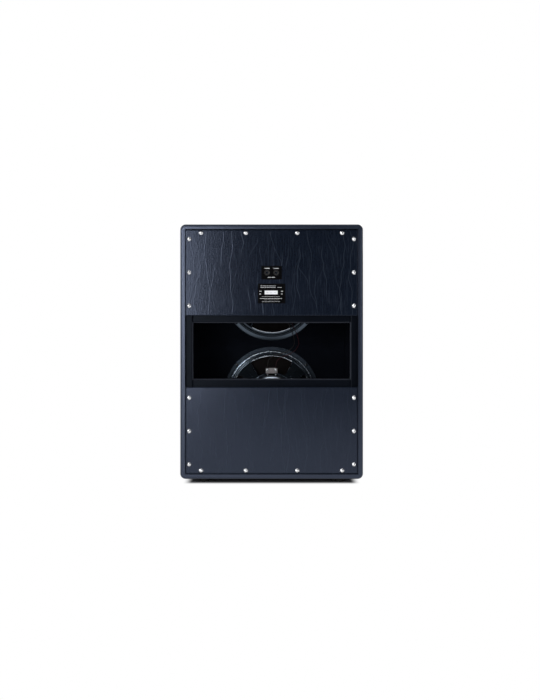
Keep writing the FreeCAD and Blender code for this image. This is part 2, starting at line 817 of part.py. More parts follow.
def window_cutter(angle):
    """What the basket loses at one of its windows."""
    start = math.radians(angle - window_half_angle)
    end = math.radians(angle + window_half_angle)
    middle = math.radians(angle)

    def at(radius, turn):
        return Vector(radius * math.cos(turn), radius * math.sin(turn), landing_depth)

    outline = Part.Wire([
        Part.Arc(at(window_outer_radius, start), at(window_outer_radius, middle),
                 at(window_outer_radius, end)).toShape(),
        line(at(window_outer_radius, end), at(window_inner_radius, end)),
        Part.Arc(at(window_inner_radius, end), at(window_inner_radius, middle),
                 at(window_inner_radius, start)).toShape(),
        line(at(window_inner_radius, start), at(window_outer_radius, start))])
    block = Part.Face(outline).extrude(Z_AXIS * basket_depth)
    corner = min(window_corner, window_corner_limit_share * (window_outer_radius - window_inner_radius))
    return block.makeFillet(corner, edges_along(block, Z_AXIS))


def on_circle(edge, spots):
    """Whether an edge is a full circle about the axis at one of some (radius, depth) places."""
    centre = edge.BoundBox.Center
    return any(near(edge.Length, 2 * math.pi * radius) and near(centre.z, depth) for radius, depth in spots)


def make_basket():
    front = [(rim_radius, gasket_thickness), (rim_step_radius, gasket_thickness),
             (rim_step_radius - rim_step_run, landing_depth), (landing_inner_radius, landing_depth),
             (shoulder_radius, shoulder_depth), (window_outer_radius, shoulder_depth),
             (ledge_radius, ledge_depth), (basket_cup_radius, ledge_depth),
             (basket_cup_radius, basket_depth), (basket_hole_radius, basket_depth)]
    rear = offset_path(front, basket_sheet)
    bends = rear[2:-3]
    bowl = turned(front + rear[::-1])
    bowl = bowl.makeFillet(basket_bend_radius, [edge for edge in bowl.Edges if on_circle(edge, bends)])
    windows = [window_cutter(index * 360 / window_count) for index in range(window_count)]
    holes = [rod((x, y, 0), Z_AXIS, speaker_screw_radius + hole_clearance, shoulder_depth)
             for x, y in speaker_screw_places()]
    return bowl.cut(windows + holes)


def make_gasket():
    ring = rod((0, 0, 0), Z_AXIS, rim_radius, gasket_thickness)
    bore = rod((0, 0, 0), Z_AXIS, gasket_inner_radius, gasket_thickness)
    holes = [rod((x, y, 0), Z_AXIS, speaker_screw_radius + screw_clearance, gasket_thickness)
             for x, y in speaker_screw_places()]
    return ring.cut([bore] + holes)


def make_speaker_screws():
    seat = gasket_thickness + basket_sheet
    screws = []
    for x, y in speaker_screw_places():
        head = rod((x, y, seat), Z_AXIS, speaker_screw_head_radius, speaker_screw_head)
        shank = rod((x, y, seat), -Z_AXIS, speaker_screw_radius, speaker_screw_length)
        screws.append(fused([head, shank]))
    return screws


def make_motor():
    gap_radius = winding_radius + coil_gap
    top_plate = turned([(gap_radius, base_rear), (top_plate_radius, base_rear),
                        (top_plate_radius, magnet_start), (gap_radius, magnet_start)])
    magnet = turned([(magnet_bore_radius, magnet_start), (magnet_radius, magnet_start),
                     (magnet_radius, yoke_start), (magnet_bore_radius, yoke_start)])
    rims = [(magnet_radius, magnet_start), (magnet_radius, yoke_start)]
    magnet = magnet.makeFillet(magnet_edge_radius, [edge for edge in magnet.Edges if on_circle(edge, rims)])
    yoke = turned([(pole_vent_radius, base_rear), (pole_radius, base_rear), (pole_radius, yoke_start),
                   (yoke_radius, yoke_start), (yoke_radius, yoke_end), (pole_vent_radius, yoke_end)])
    rims = [(yoke_radius, yoke_end)]
    yoke = yoke.makeFillet(yoke_edge_radius, [edge for edge in yoke.Edges if on_circle(edge, rims)])
    return {"top_plate": top_plate, "magnet": magnet, "yoke": yoke}


def cone_arc():
    """Front line of the cone's section, from its edge to its neck."""
    edge = Vector(cone_radius, 0, cone_edge_depth)
    neck = Vector(former_radius + glue_gap, 0, cone_neck_depth)
    across = (neck - edge).normalize()
    middle = (edge + neck) / 2 + Vector(-across.z, 0, across.x) * cone_bow
    return Part.Arc(edge, middle, neck)


def cone_depth_at(radius):
    """Depth of the cone's front face at a radius."""
    section = cone_arc().toShape()
    probe = line(Vector(radius, 0, cone_edge_depth - overrun), Vector(radius, 0, cone_neck_depth + overrun))
    return section.distToShape(probe)[1][0][0].z


def make_cone():
    return turned_sheet(cone_arc().toShape(), cone_wall)


def make_dust_cap():
    rim = cone_depth_at(dust_cap_radius) - dust_cap_wall - glue_gap
    return turned_sheet(dome(dust_cap_radius, rim, dust_cap_rise, -1), dust_cap_wall)


def make_voice_coil():
    start = cone_neck_depth - former_head
    end = magnet_start + coil_overhang
    wound = end - winding_length
    return turned([(coil_radius, start), (former_radius, start), (former_radius, wound),
                   (winding_radius, wound), (winding_radius, end), (coil_radius, end)])


def rolled_ring(inner, roll_inner, roll_outer, outer, depth, rolls, height, thickness):
    """Corrugated ring: a flat at each edge and round rolls between, alternately fore and aft."""
    pitch = (roll_outer - roll_inner) / rolls
    front = [line(Vector(inner, 0, depth), Vector(roll_inner, 0, depth))]
    for index in range(rolls):
        start = roll_inner + index * pitch
        way = 1 if index % 2 else -1
        front.append(Part.Arc(Vector(start, 0, depth), Vector(start + pitch / 2, 0, depth + way * height),
                              Vector(start + pitch, 0, depth)).toShape())
    front.append(line(Vector(roll_outer, 0, depth), Vector(outer, 0, depth)))
    rear = []
    for edge in front:
        moved = edge.copy()
        moved.translate(Z_AXIS * thickness)
        rear.append(moved)
    closing = [line(Vector(radius, 0, depth), Vector(radius, 0, depth + thickness))
               for radius in (inner, outer)]
    return turned_edges(front + rear + closing)


def make_surround():
    outer = rim_step_radius - rim_step_run - soft_gap
    inner = cone_radius + soft_gap
    return rolled_ring(inner, inner + surround_flat, landing_inner_radius - surround_flat, outer,
                       landing_depth - surround_wall, surround_rolls, surround_roll_height, surround_wall)


def make_spider():
    inner = former_radius + soft_gap
    return rolled_ring(inner, inner + spider_flat, basket_cup_radius - spider_flat,
                       ledge_radius - spider_flat, ledge_depth - spider_wall, spider_rolls,
                       spider_roll_height, spider_wall)


def make_terminal_strip():
    seat = ledge_depth + basket_sheet
    board = box((-strip_width / 2, strip_low, seat), (strip_width / 2, strip_high, strip_rear))
    pieces = [board]
    for side in (-1, 1):
        x = side * lug_spread / 2
        rivet_y = strip_low + strip_rivet_rise
        pieces.append(rod((x, rivet_y, strip_rear), Z_AXIS, strip_rivet_radius, strip_rivet_height))
        low = strip_high - lug_drop
        pieces.append(box((x - lug_width / 2, low - lug_foot, strip_rear),
                          (x + lug_width / 2, low, strip_rear + lug_thickness)))
        pieces.append(box((x - lug_width / 2, low - lug_thickness, strip_rear),
                          (x + lug_width / 2, low, strip_rear + lug_length)))
    return fused(pieces)


def make_tinsel_leads():
    """Two braids from the terminal strip, through the basket window, to the back of the cone."""
    leads = []
    seat = ledge_depth + basket_sheet
    for side in (-1, 1):
        start = Vector(side * lug_spread / 2, strip_high - lug_drop, seat - soft_gap - lead_radius)
        end = Vector(side * lead_cone_spread / 2, lead_cone_radius,
                     cone_depth_at(lead_cone_radius) + cone_wall + soft_gap + lead_radius)
        sag = start + (end - start) * lead_sag_share
        sag.z = end.z + lead_sag_depth
        leads.append(route_tube([start, sag, end], 2 * lead_radius))
    return leads


# Wires


def route_tube(points, diameter):
    """Round tube along straight runs joined by tangent arcs as large as the runs allow."""
    edges = []
    radii = []
    start = points[0]
    for before, corner, after in zip(points, points[1:], points[2:]):
        back = (before - corner).normalize()
        ahead = (after - corner).normalize()
        half_turn = (math.pi - back.getAngle(ahead)) / 2
        tangent = bend_share * min((before - corner).Length, (after - corner).Length)
        radius = tangent / math.tan(half_turn)
        bulge = radius / math.cos(half_turn) - radius
        bend_start = corner + back * tangent
        bend_end = corner + ahead * tangent
        edges.append(line(start, bend_start))
        edges.append(Part.Arc(bend_start, corner + (back + ahead).normalize() * bulge, bend_end).toShape())
        radii.append(radius)
        start = bend_end
    edges.append(line(start, points[-1]))
    path = Part.Wire(edges)
    section = Part.Wire(Part.makeCircle(diameter / 2, points[0], points[1] - points[0]))
    tube = path.makePipeShell([section], True, False)
    ideal = math.pi * diameter * diameter / 4 * path.Length
    print("tube length %.1f, volume share %.4f, radii %s"
          % (path.Length, tube.Volume / ideal, [round(radius, 1) for radius in radii]))
    return tube


def make_wires():
    routes = {"lower_red_wire": lower_red_route, "lower_pale_wire": lower_pale_route,
              "upper_red_wire": upper_red_route, "upper_pale_wire": upper_pale_route}
    for name, route in routes.items():
        save(name, [route_tube([Vector(*point) for point in route], wire_diameter)])


def make_speakers():
    pieces = {"basket": [make_basket()], "cone": [make_cone()], "dust_cap": [make_dust_cap()],
              "voice_coil": [make_voice_coil()], "surround": [make_surround()], "spider": [make_spider()],
              "terminal_strip": [make_terminal_strip()], "tinsel_leads": make_tinsel_leads()}
    pieces.update({name: [shape] for name, shape in make_motor().items()})
    gasket = make_gasket()
    screws = make_speaker_screws()
    for speaker, placement in speaker_placements().items():
        for name, shapes in pieces.items():
            save(speaker + "_" + name, [placed(shape, placement) for shape in shapes])
    save("speaker_gaskets", [placed(gasket, place) for place in speaker_placements().values()])
    save("speaker_screws", [placed(screw, place) for place in speaker_placements().values()
                            for screw in screws])


os.makedirs("parts", exist_ok=True)
make_shell()
make_handles()
make_feet()
make_rear_frame()
make_back_panels()
make_panel_screws()
make_jacks()
make_label()
make_front()
make_speakers()
make_wires()
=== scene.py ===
# Looks of a tall guitar speaker cabinet with a partly open back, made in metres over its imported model.
import json
from math import copysign, cos, hypot, pi, radians, sin, tan
import random

import bmesh
import bpy
import numpy as np
from mathutils import Matrix, Vector


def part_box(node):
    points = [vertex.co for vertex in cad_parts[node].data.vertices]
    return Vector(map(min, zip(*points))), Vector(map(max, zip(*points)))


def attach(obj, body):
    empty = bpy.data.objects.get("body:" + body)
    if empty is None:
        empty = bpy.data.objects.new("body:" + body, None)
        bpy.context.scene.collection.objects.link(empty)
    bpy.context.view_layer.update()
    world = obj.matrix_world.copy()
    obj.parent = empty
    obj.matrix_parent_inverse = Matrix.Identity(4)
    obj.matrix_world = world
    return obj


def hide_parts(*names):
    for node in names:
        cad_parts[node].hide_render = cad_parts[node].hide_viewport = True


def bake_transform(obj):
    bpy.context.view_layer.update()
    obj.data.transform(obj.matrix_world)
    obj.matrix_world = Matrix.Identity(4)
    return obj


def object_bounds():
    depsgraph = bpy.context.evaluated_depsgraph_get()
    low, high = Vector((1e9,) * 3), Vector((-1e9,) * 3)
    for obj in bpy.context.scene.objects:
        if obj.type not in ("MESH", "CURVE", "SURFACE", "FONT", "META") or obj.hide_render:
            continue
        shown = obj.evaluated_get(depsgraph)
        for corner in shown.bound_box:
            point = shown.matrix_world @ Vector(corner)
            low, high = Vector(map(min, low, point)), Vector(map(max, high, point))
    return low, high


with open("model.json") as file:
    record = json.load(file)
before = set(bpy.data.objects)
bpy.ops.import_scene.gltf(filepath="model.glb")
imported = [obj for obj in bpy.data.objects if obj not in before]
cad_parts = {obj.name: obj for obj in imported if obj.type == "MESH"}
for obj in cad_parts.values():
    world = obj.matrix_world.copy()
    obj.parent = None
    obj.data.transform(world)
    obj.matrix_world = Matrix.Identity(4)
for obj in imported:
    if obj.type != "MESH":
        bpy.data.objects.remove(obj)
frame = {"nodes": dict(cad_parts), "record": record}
cad_low, cad_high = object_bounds()
nodes = frame["nodes"]
MM = 0.001
FULL_TURN = 2 * pi


# Camera: level, behind the open back, with the frame shifted down as the photograph's is

PHOTO_HEIGHT_PX = 700
SENSOR_LONG_SIDE = 36.0
PX_PER_METRE_AT_REAR = 339.15
CAMERA_DISTANCE = 3.05
CAMERA_HEIGHT = 0.541
HORIZON_ABOVE_CENTRE_PX = 50.08
OBJECT_RIGHT_OF_CENTRE_PX = 1.62


def add_camera():
    data = bpy.data.cameras.new("camera")
    focal_px = PX_PER_METRE_AT_REAR * CAMERA_DISTANCE
    data.sensor_width = SENSOR_LONG_SIDE
    data.lens = focal_px / PHOTO_HEIGHT_PX * SENSOR_LONG_SIDE
    data.shift_y = -HORIZON_ABOVE_CENTRE_PX / PHOTO_HEIGHT_PX
    data.shift_x = -OBJECT_RIGHT_OF_CENTRE_PX / PHOTO_HEIGHT_PX
    camera = linked("camera", data)
    camera.location = (0, cad_high.y + CAMERA_DISTANCE, CAMERA_HEIGHT)
    camera.rotation_euler = (radians(90), 0, radians(180))
    bpy.context.scene.camera = camera


# Cords: the same routes as the solids, in millimetres, from a jack lug to a terminal lug

WIRE_DIAMETER = 2.4
WIRE_ROUTES = {
    "lower_red_wire": [
        (-17.5, 134.2, 621.6), (-18.5, 124, 619.5), (-22, 108, 607), (-29, 88, 580),
        (-38, 68, 545), (-48, 44, 508), (-62, 18, 470), (-79, -10, 434),
        (-88, -36, 404), (-76, -52, 380), (-51, -58, 366), (-30, -58.5, 359.5),
        (-17, -57, 349), (-13.2, -56, 336), (-13, -55.5, 322.4)],
    "lower_pale_wire": [
        (-9.5, 134.2, 621.6), (-9, 123.5, 619), (-12, 106, 603), (-20, 84, 573),
        (-30, 62, 537), (-41, 38, 499), (-55, 11, 461), (-71, -18, 424),
        (-72, -42, 396), (-52, -55, 378), (-26, -60, 370), (-3, -60, 363),
        (10, -57.5, 351), (12.8, -56, 337), (13, -55.5, 322.4)],
    "upper_red_wire": [
        (9.5, 134.2, 621.6), (8.5, 123, 620), (4, 104, 612), (-3, 80, 608),
        (-9, 55, 615), (-12.5, 33, 632.5), (-13.4, 15.2, 653), (-13.2, 0.5, 662.5),
        (-13.1, -9, 658.5), (-13, -12.1, 648.5), (-13, -12.5, 637.2)],
    "upper_pale_wire": [
        (17.5, 134.2, 621.6), (18.5, 122.5, 619.5), (20, 102, 610), (19, 77, 605),
        (16, 52, 612), (14, 31, 630.5), (13.3, 14.2, 652), (13.1, 0, 661.5),
        (13.05, -9.2, 658), (13, -12.1, 648.5), (13, -12.5, 637.2)]}


def routed_curve(name, route):
    """Smooth open curve with the route's points as its control points."""
    curve = bpy.data.curves.new(name, "CURVE")
    curve.dimensions = "3D"
    spline = curve.splines.new("NURBS")
    spline.points.add(len(route) - 1)
    for point, place in zip(spline.points, route):
        point.co = (*(Vector(place) * MM), 1)
    spline.order_u = 3
    spline.use_endpoint_u = True
    return curve


LEAD_DIAMETER = 1.8
LEAD_ROUTE = [(13, 88, 68.4), (11.3, 76.2, 54.6), (9, 60, 37.6)]
LEAD_STEPS = 10


def add_leads(which):
    """Braided leads from the terminals to the back of the cone, which they follow."""
    place = speaker_place(which)
    for side, name in ((1, "left"), (-1, "right")):
        route = [place @ Vector((side * x, y, z)) for x, y, z in LEAD_ROUTE]
        guide = linked("guide", routed_curve("guide", route))
        guide.data.resolution_u = LEAD_STEPS
        path = final_shape(guide)[0]
        lead = piece(which + "_" + name + "_lead", tube(path / MM, LEAD_DIAMETER / 2, up=(1, 0, 0)), "tinsel",
                     body=None, stands_for=[which + "_tinsel_leads"])
        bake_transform(lead)


def add_wires():
    for node, route in WIRE_ROUTES.items():
        slot = "red_sleeve" if "red" in node else "pale_sleeve"
        curve = routed_curve(node, route)
        curve.bevel_depth = WIRE_DIAMETER / 2 * MM
        curve.bevel_resolution = 5
        curve.use_fill_caps = True
        curve.materials.append(finishes[slot])
        wire = linked(node + "_cord", curve)
        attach(wire, "cabinet")
        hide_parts(node)


# Finishes: sockets as values, and one way to add any node


def operator(operation, reflected=False):
    """Arithmetic between sockets and numbers, as a Math node."""
    def method(self, other):
        first, second = (other, self) if reflected else (self, other)
        return self.finish.node("ShaderNodeMath", {0: first, 1: second}, {"operation": operation})
    return method


def worked(operation):
    """Function of one or two values, as a Math node."""
    def method(self, *values):
        return self.node("ShaderNodeMath", dict(enumerate(values)), {"operation": operation})
    return method


class Signal:
    """Output socket of a finish; arithmetic on it adds Math nodes."""

    def __init__(self, finish, socket):
        self.finish = finish
        self.socket = socket

    __add__ = operator("ADD")
    __radd__ = operator("ADD", reflected=True)
    __sub__ = operator("SUBTRACT")
    __rsub__ = operator("SUBTRACT", reflected=True)
    __mul__ = operator("MULTIPLY")
    __truediv__ = operator("DIVIDE")
    __gt__ = operator("GREATER_THAN")


class Finish:
    """A surface finish, built node by node over the piece's own coordinates."""

    least, most = worked("MINIMUM"), worked("MAXIMUM")
    sine, size, whole = worked("SINE"), worked("ABSOLUTE"), worked("FLOOR")

    def __init__(self, name, kind=bpy.data.materials):
        self.holder = kind.new(name)
        self.holder.use_nodes = True
        self.tree = self.holder.node_tree
        self.tree.nodes.clear()
        self.place = self.node("ShaderNodeTexCoord", output="Object")

    def node(self, kind, sockets=None, settings=None, output=0):
        """Add a node with settings and the values or links of its sockets; gives one output."""
        made = self.tree.nodes.new(kind)
        for key, value in (settings or {}).items():
            setattr(made, key, value)
        for key, value in (sockets or {}).items():
            if isinstance(value, Signal):
                self.tree.links.new(value.socket, made.inputs[key])
            else:
                made.inputs[key].default_value = value
        return Signal(self, made.outputs[output]) if made.outputs else None

    def axis(self, name):
        """One coordinate of the place, in metres."""
        return self.node("ShaderNodeSeparateXYZ", {"Vector": self.place}, output=name)

    def stretched(self, stretch):
        """The place with each coordinate scaled."""
        return self.node("ShaderNodeVectorMath", {0: self.place, 1: stretch}, {"operation": "MULTIPLY"})

    def cloud(self, scale, detail=2.0, stretch=(1, 1, 1)):
        """Soft noise about 0.5, with a scale in features per metre."""
        place = self.stretched(stretch)
        return self.node("ShaderNodeTexNoise", {"Vector": place, "Scale": scale, "Detail": detail})

    def cells(self, scale, stretch=(1, 1, 1)):
        """Distance field of scattered cells, with a scale in cells per metre."""
        place = self.stretched(stretch)
        return self.node("ShaderNodeTexVoronoi", {"Vector": place, "Scale": scale}, output="Distance")

    def eased(self, value, low, high):
        """Value mapped from a span to 0..1, with soft ends."""
        return self.node("ShaderNodeMapRange", {"Value": value, "From Min": low, "From Max": high},
                         {"interpolation_type": "SMOOTHSTEP"})

    def between(self, share, first, second):
        """Colour between two colours, each a socket or a tone."""
        first, second = [end if isinstance(end, Signal) else (*end, 1) for end in (first, second)]
        return self.node("ShaderNodeMix", {0: share, 6: first, 7: second}, {"data_type": "RGBA"}, output=2)

    def done(self, colour, rough, height, depth, others):
        """Close the finish with its surface, whose fine relief has a depth in metres."""
        relief = self.node("ShaderNodeBump", {"Distance": depth, "Height": height})
        sockets = {"Base Color": colour, "Roughness": rough, "Normal": relief, **others}
        surface = self.node("ShaderNodeBsdfPrincipled", sockets)
        self.node("ShaderNodeOutputMaterial", {"Surface": surface})
        return self.holder


def scaled(tone, share):
    """A lighter or darker tone."""
    return tuple(share * part for part in tone)


WORN_START, WORN_END = 0.002, 0.0005


def vinyl(name, shine, rough, depth, streaks=0.0):
    """Embossed black covering: small pebbles, a faint bloom and a top that is worn dull.

    With streaks it shows fibres, and the raised lines that its sheet is marked with.
    """
    f = Finish(name)
    pebbles = f.cells(520, (1, 1, 0.7))
    grain = f.cloud(1500, 3)
    bloom = f.cloud(9, 3)
    height = pebbles + grain * 0.5
    shade = f.eased(pebbles * 0.8 + bloom * 0.6, 0.25, 0.95)
    colour = f.between(shade, (0.0026, 0.0044, 0.0085), (0.0050, 0.0080, 0.0150))
    if streaks:
        bark = f.cells(260, (1, 1, 0.25))
        height = height + bark * 1.2
        fibres = f.cloud(420, 3, (1, 1, 0.07))
        colour = f.between(f.eased(fibres, 0.48, 0.75) * streaks, colour, (0.016, 0.021, 0.031))
        crest = f.node("ShaderNodeAttribute", settings={"attribute_name": "crest"}, output="Fac")
        colour = f.between(crest * 0.7, colour, (0.040, 0.050, 0.066))
    worn = f.eased(f.axis("Z"), cad_high.z - WORN_START, cad_high.z - WORN_END)
    return f.done(colour, rough + bloom * 0.05 + worn * 0.35, height, depth, {
        "Specular IOR Level": shine, "Specular Tint": (0.62, 0.72, 1.0, 1)})


# Spans of the painted highlight on the opening's edges, in metres: out from the edge, and in from the rear face
EDGE_HIGHLIGHT_OUT = (0.0005, 0.0045)
EDGE_HIGHLIGHT_IN = (0.009, 0.004)


def opening_edge_highlight(f):
    """Mask of the painted highlight: 1 on the rounded edges of the opening between the panels, 0 away from
    them.
    """
    half_width = -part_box("left_rear_batten")[1].x
    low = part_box("lower_cross_rail")[1].z
    high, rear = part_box("upper_cross_rail")[0].z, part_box("upper_cross_rail")[1].y
    outside = f.most(f.size(f.axis("X")) - half_width, f.most(f.axis("Z") - high, low - f.axis("Z")))
    return (1 - f.eased(outside, *EDGE_HIGHLIGHT_OUT)) * f.eased(f.axis("Y"), *(rear - depth for depth in EDGE_HIGHLIGHT_IN))


def sprayed_wood(name, tone, rough, shine, edge_highlight=False):
    """Black paint on wood, with the grain just showing; when asked, a painted highlight makes the rounded edges
    of the opening paler.
    """
    f = Finish(name)
    fibres = f.cloud(900, 4, (1, 1, 0.05))
    patches = f.cloud(14, 3)
    colour = f.between(f.eased(patches, 0.3, 0.7), scaled(tone, 0.7), tone)
    if edge_highlight:
        # painted highlight: the rounded edges of the opening are made paler, standing in for the light they
        # catch
        colour = f.between(opening_edge_highlight(f), colour, (0.034, 0.037, 0.046))
    return f.done(colour, rough + fibres * 0.1, fibres + patches * 0.5, 0.00003, {
        "Specular IOR Level": shine, "Specular Tint": (0.72, 0.84, 1.0, 1)})


def plated(name, tone, rough):
    """Plated metal with faint turning marks and small stains."""
    f = Finish(name)
    stains = f.cloud(260, 4)
    marks = f.cloud(2200, 2, (1, 0.2, 1))
    colour = f.between(f.eased(stains, 0.45, 0.75), tone, scaled(tone, 0.8))
    return f.done(colour, rough + stains * 0.12, marks, 0.00002, {"Metallic": 1.0})


def depth_in(f, which):
    """Depth along a speaker's axis behind its baffle, in metres."""
    row = speaker_place(which).inverted()[2]
    return f.axis("Y") * row[1] + f.axis("Z") * row[2] + row[3] * MM


def basket_paint():
    """Glossy grey paint with a faint orange peel, and painted shade: darker behind the rim and on the upper
    basket.
    """
    f = Finish("basket_paint")
    # dark: tone of the painted shade
    dark = (0.020, 0.027, 0.036)
    upper = f.axis("Z") > CREASE_HEIGHT * MM
    depth = upper * depth_in(f, "upper") + (1 - upper) * depth_in(f, "lower")
    peel = f.cloud(420, 2)
    dust = f.cloud(30, 4)
    colour = f.between(f.eased(dust, 0.4, 0.75), (0.085, 0.112, 0.146), (0.115, 0.148, 0.184))
    # painted shade: the upper basket is made darker
    colour = f.between(upper * 0.4, colour, dark)
    # painted shade: darker behind the rim, in the bowl
    colour = f.between(f.eased(depth, 0.005, 0.010) * 0.65, colour, dark)
    return f.done(colour, 0.09 + dust * 0.08, peel, 0.00002, {"Metallic": 0.8})


def dull(name, tone, lift, scale, rough=0.75, depth=0.0002, shine=0.5):
    """Matt stock with a fine mottle, such as ferrite, fibre board or paper."""
    f = Finish(name)
    mottle = f.cloud(scale, 4)
    wide = f.cloud(scale / 20, 2)
    colour = f.between(f.eased(mottle * 0.6 + wide * 0.4, 0.35, 0.7), tone, scaled(tone, lift))
    return f.done(colour, rough + mottle * 0.2 - 0.1, mottle, depth, {"Specular IOR Level": shine})


def moulded(name, tone, rough, stipple, shine=0.2):
    """Moulded plastic, rubber or thick paint with a stipple."""
    f = Finish(name)
    spots = f.cells(stipple)
    wear = f.cloud(25, 4)
    colour = f.between(f.eased(wear, 0.45, 0.8), tone, scaled(tone, 1.9))
    return f.done(colour, rough + wear * 0.15, spots, 0.00004, {"Specular IOR Level": shine})


THREADS_PER_METRE = 620


def woven_cloth():
    """Coarse plain weave of black thread with grey flecks."""
    f = Finish("grille_cloth")
    across = f.axis("X") * THREADS_PER_METRE
    along = f.axis("Z") * THREADS_PER_METRE
    over = f.sine(across * pi) * f.sine(along * pi) > 0
    warp = f.size(f.sine(across * pi))
    weft = f.size(f.sine(along * pi))
    height = over * warp + (1 - over) * weft
    cell = f.node("ShaderNodeCombineXYZ", {0: f.whole(across), 1: f.whole(along / 2)})
    fleck = f.node("ShaderNodeTexWhiteNoise", {"Vector": cell}, {"noise_dimensions": "2D"}) > 0.78
    thread = f.between(fleck * over, (0.016, 0.016, 0.018), (0.11, 0.11, 0.115))
    colour = f.between(f.eased(height, 0.0, 0.55), (0.004, 0.004, 0.005), thread)
    return f.done(colour, 0.85, height, 0.0003, {"Sheen Weight": 0.2})


BRAID_PITCH = 9000


def braid(name, tone):
    """Fine braided metal thread."""
    f = Finish(name)
    twist = f.sine((f.axis("X") + f.axis("Y") + f.axis("Z")) * BRAID_PITCH)
    colour = f.between(f.eased(twist, -0.6, 0.6), scaled(tone, 0.45), tone)
    return f.done(colour, 0.42 + twist * 0.05, twist, 0.0001, {"Metallic": 0.9})


# Each row: the finish's name, its kind, and what that kind asks for, in its order
FINISH_ROWS = (
    ("vinyl", vinyl, 0.78, 0.27, 0.00006),
    ("faced_panel", vinyl, 0.33, 0.145, 0.00005, 0.6),
    ("lower_facing", vinyl, 0.54, 0.21, 0.00005, 0.2),
    ("plywood", sprayed_wood, (0.010, 0.011, 0.016), 0.60, 0.05),
    # black_wood's last value turns on the painted highlight on the opening's edges
    ("black_wood", sprayed_wood, (0.0028, 0.0038, 0.0066), 0.24, 0.06, True),
    ("matt_black", sprayed_wood, (0.0050, 0.0062, 0.0095), 0.80, 0.0),
    ("nickel", plated, (0.90, 0.91, 0.93), 0.16),
    ("zinc_steel", plated, (0.60, 0.63, 0.67), 0.22),
    ("yoke_steel", plated, (0.78, 0.88, 1.0), 0.32),
    ("bare_lip", plated, (0.80, 0.88, 0.98), 0.20),
    ("coil_copper", plated, (0.62, 0.30, 0.16), 0.3),
    ("ferrite", dull, (0.018, 0.019, 0.022), 1.8, 900, 0.5, 0.00006),
    ("cone_paper", dull, (0.0034, 0.0026, 0.0028), 2.0, 700, 0.75, 0.0002, 0.08),
    ("spider_cloth", dull, (0.13, 0.07, 0.025), 1.7, 1100),
    ("strip_fibre", dull, (0.20, 0.187, 0.190), 1.5, 600),
    ("gasket_fibre", dull, (0.06, 0.052, 0.045), 1.6, 500),
    ("print", dull, (0.80, 0.80, 0.80), 1.1, 900, 0.5, 0.00002),
    ("tinsel", braid, (0.62, 0.50, 0.34)),
    ("screw_black", moulded, (0.0020, 0.0022, 0.0026), 0.14, 1400, 0.5),
    ("piping", moulded, (0.30, 0.30, 0.29), 0.38, 900),
    ("handle_plastic", moulded, (0.012, 0.0125, 0.014), 0.44, 1500),
    ("rubber", moulded, (0.012, 0.012, 0.0125), 0.68, 700),
    ("black_steel", moulded, (0.0008, 0.0009, 0.0012), 0.34, 1400, 0.03),
    ("jack_plastic", moulded, (0.0016, 0.0016, 0.0018), 0.30, 1100, 0.3),
    ("label_film", moulded, (0.0008, 0.0009, 0.0012), 0.36, 500, 0.03),
    ("red_sleeve", moulded, (0.020, 0.0035, 0.006), 0.48, 400),
    ("pale_sleeve", moulded, (0.013, 0.012, 0.012), 0.50, 400))
OWN_FINISHES = {"lower_baffle": "matt_black", "upper_baffle": "matt_black", "baffle_cleats": "matt_black",
                "lower_yoke": "yoke_steel", "upper_yoke": "yoke_steel"}


def make_finishes():
    """Finishes under the names of the record's material slots, and those of details that have none."""
    made = {name: kind(name, *values) for name, kind, *values in FINISH_ROWS}
    return {**made, "basket_paint": basket_paint(), "grille_cloth": woven_cloth()}


def dress_solids():
    """Give every solid of the frame its own finish, or else that of its material slot."""
    for part in frame["record"]["subparts"]:
        mesh = nodes[part["node"]].data
        mesh.materials.clear()
        mesh.materials.append(finishes[OWN_FINISHES.get(part["node"], part["material_slot"])])


# Meshes: a shape is its points in millimetres and its faces


def moved(shape, place):
    """Shape carried by a matrix."""
    points, faces = shape
    place = np.array(place)
    return points @ place[:3, :3].T + place[:3, 3], faces


def gathered(shapes):
    """Many shapes as one."""
    points, faces, count = [], [], 0
    for some_points, some_faces in shapes:
        points.append(some_points)
        faces += [[corner + count for corner in face] for face in some_faces]
        count += len(some_points)
    return np.concatenate(points), faces


def grid_faces(rows, columns, ring=False, loop=False):
    """Faces between the points of a grid; a ring closes each row, a loop joins the last row to the first."""
    faces = []
    for row in range(rows if loop else rows - 1):
        here, ahead = row * columns, (row + 1) % rows * columns
        for spot in range(columns if ring else columns - 1):
            beside = (spot + 1) % columns
            faces.append([here + spot, here + beside, ahead + beside, ahead + spot])
    return faces


def shape_of(mesh):
    """Shape of a Blender mesh, which is then dropped."""
    shape = (np.array([vertex.co for vertex in mesh.vertices]), [list(face.vertices) for face in mesh.polygons])
    bpy.data.meshes.remove(mesh)
    return shape


def cleaned(mesh, weld=0.0):
    """Mesh with its faces turned outwards, and its points welded within a distance."""
    work = bmesh.new()
    work.from_mesh(mesh)
    if weld:
        bmesh.ops.remove_doubles(work, verts=work.verts, dist=weld)
    bmesh.ops.recalc_face_normals(work, faces=work.faces)
    work.to_mesh(mesh)
    work.free()
    return mesh


def mesh_of(name, shape):
    """Blender mesh of a shape, with its faces turned outwards."""
    mesh = bpy.data.meshes.new(name)
    mesh.from_pydata(shape[0].tolist(), [], shape[1])
    return cleaned(mesh)


def linked(name, data):
    """Object of some data, in the scene."""
    made = bpy.data.objects.new(name, data)
    bpy.context.scene.collection.objects.link(made)
    return made


def piece(name, shape, slot, finish=None, body="cabinet", stands_for=()):
    """Visible piece of a shape, smoothed, with its slot's finish or another, and riding on its body."""
    mesh = mesh_of(name, shape)
    mesh.transform(Matrix.Scale(MM, 4))
    mesh.materials.append(finishes[finish or slot])
    mesh.shade_smooth()
    mesh.set_sharp_from_angle(angle=radians(35))
    made = linked(name, mesh)
    if body:
        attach(made, body)
    if stands_for:
        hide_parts(*stands_for)
    return made


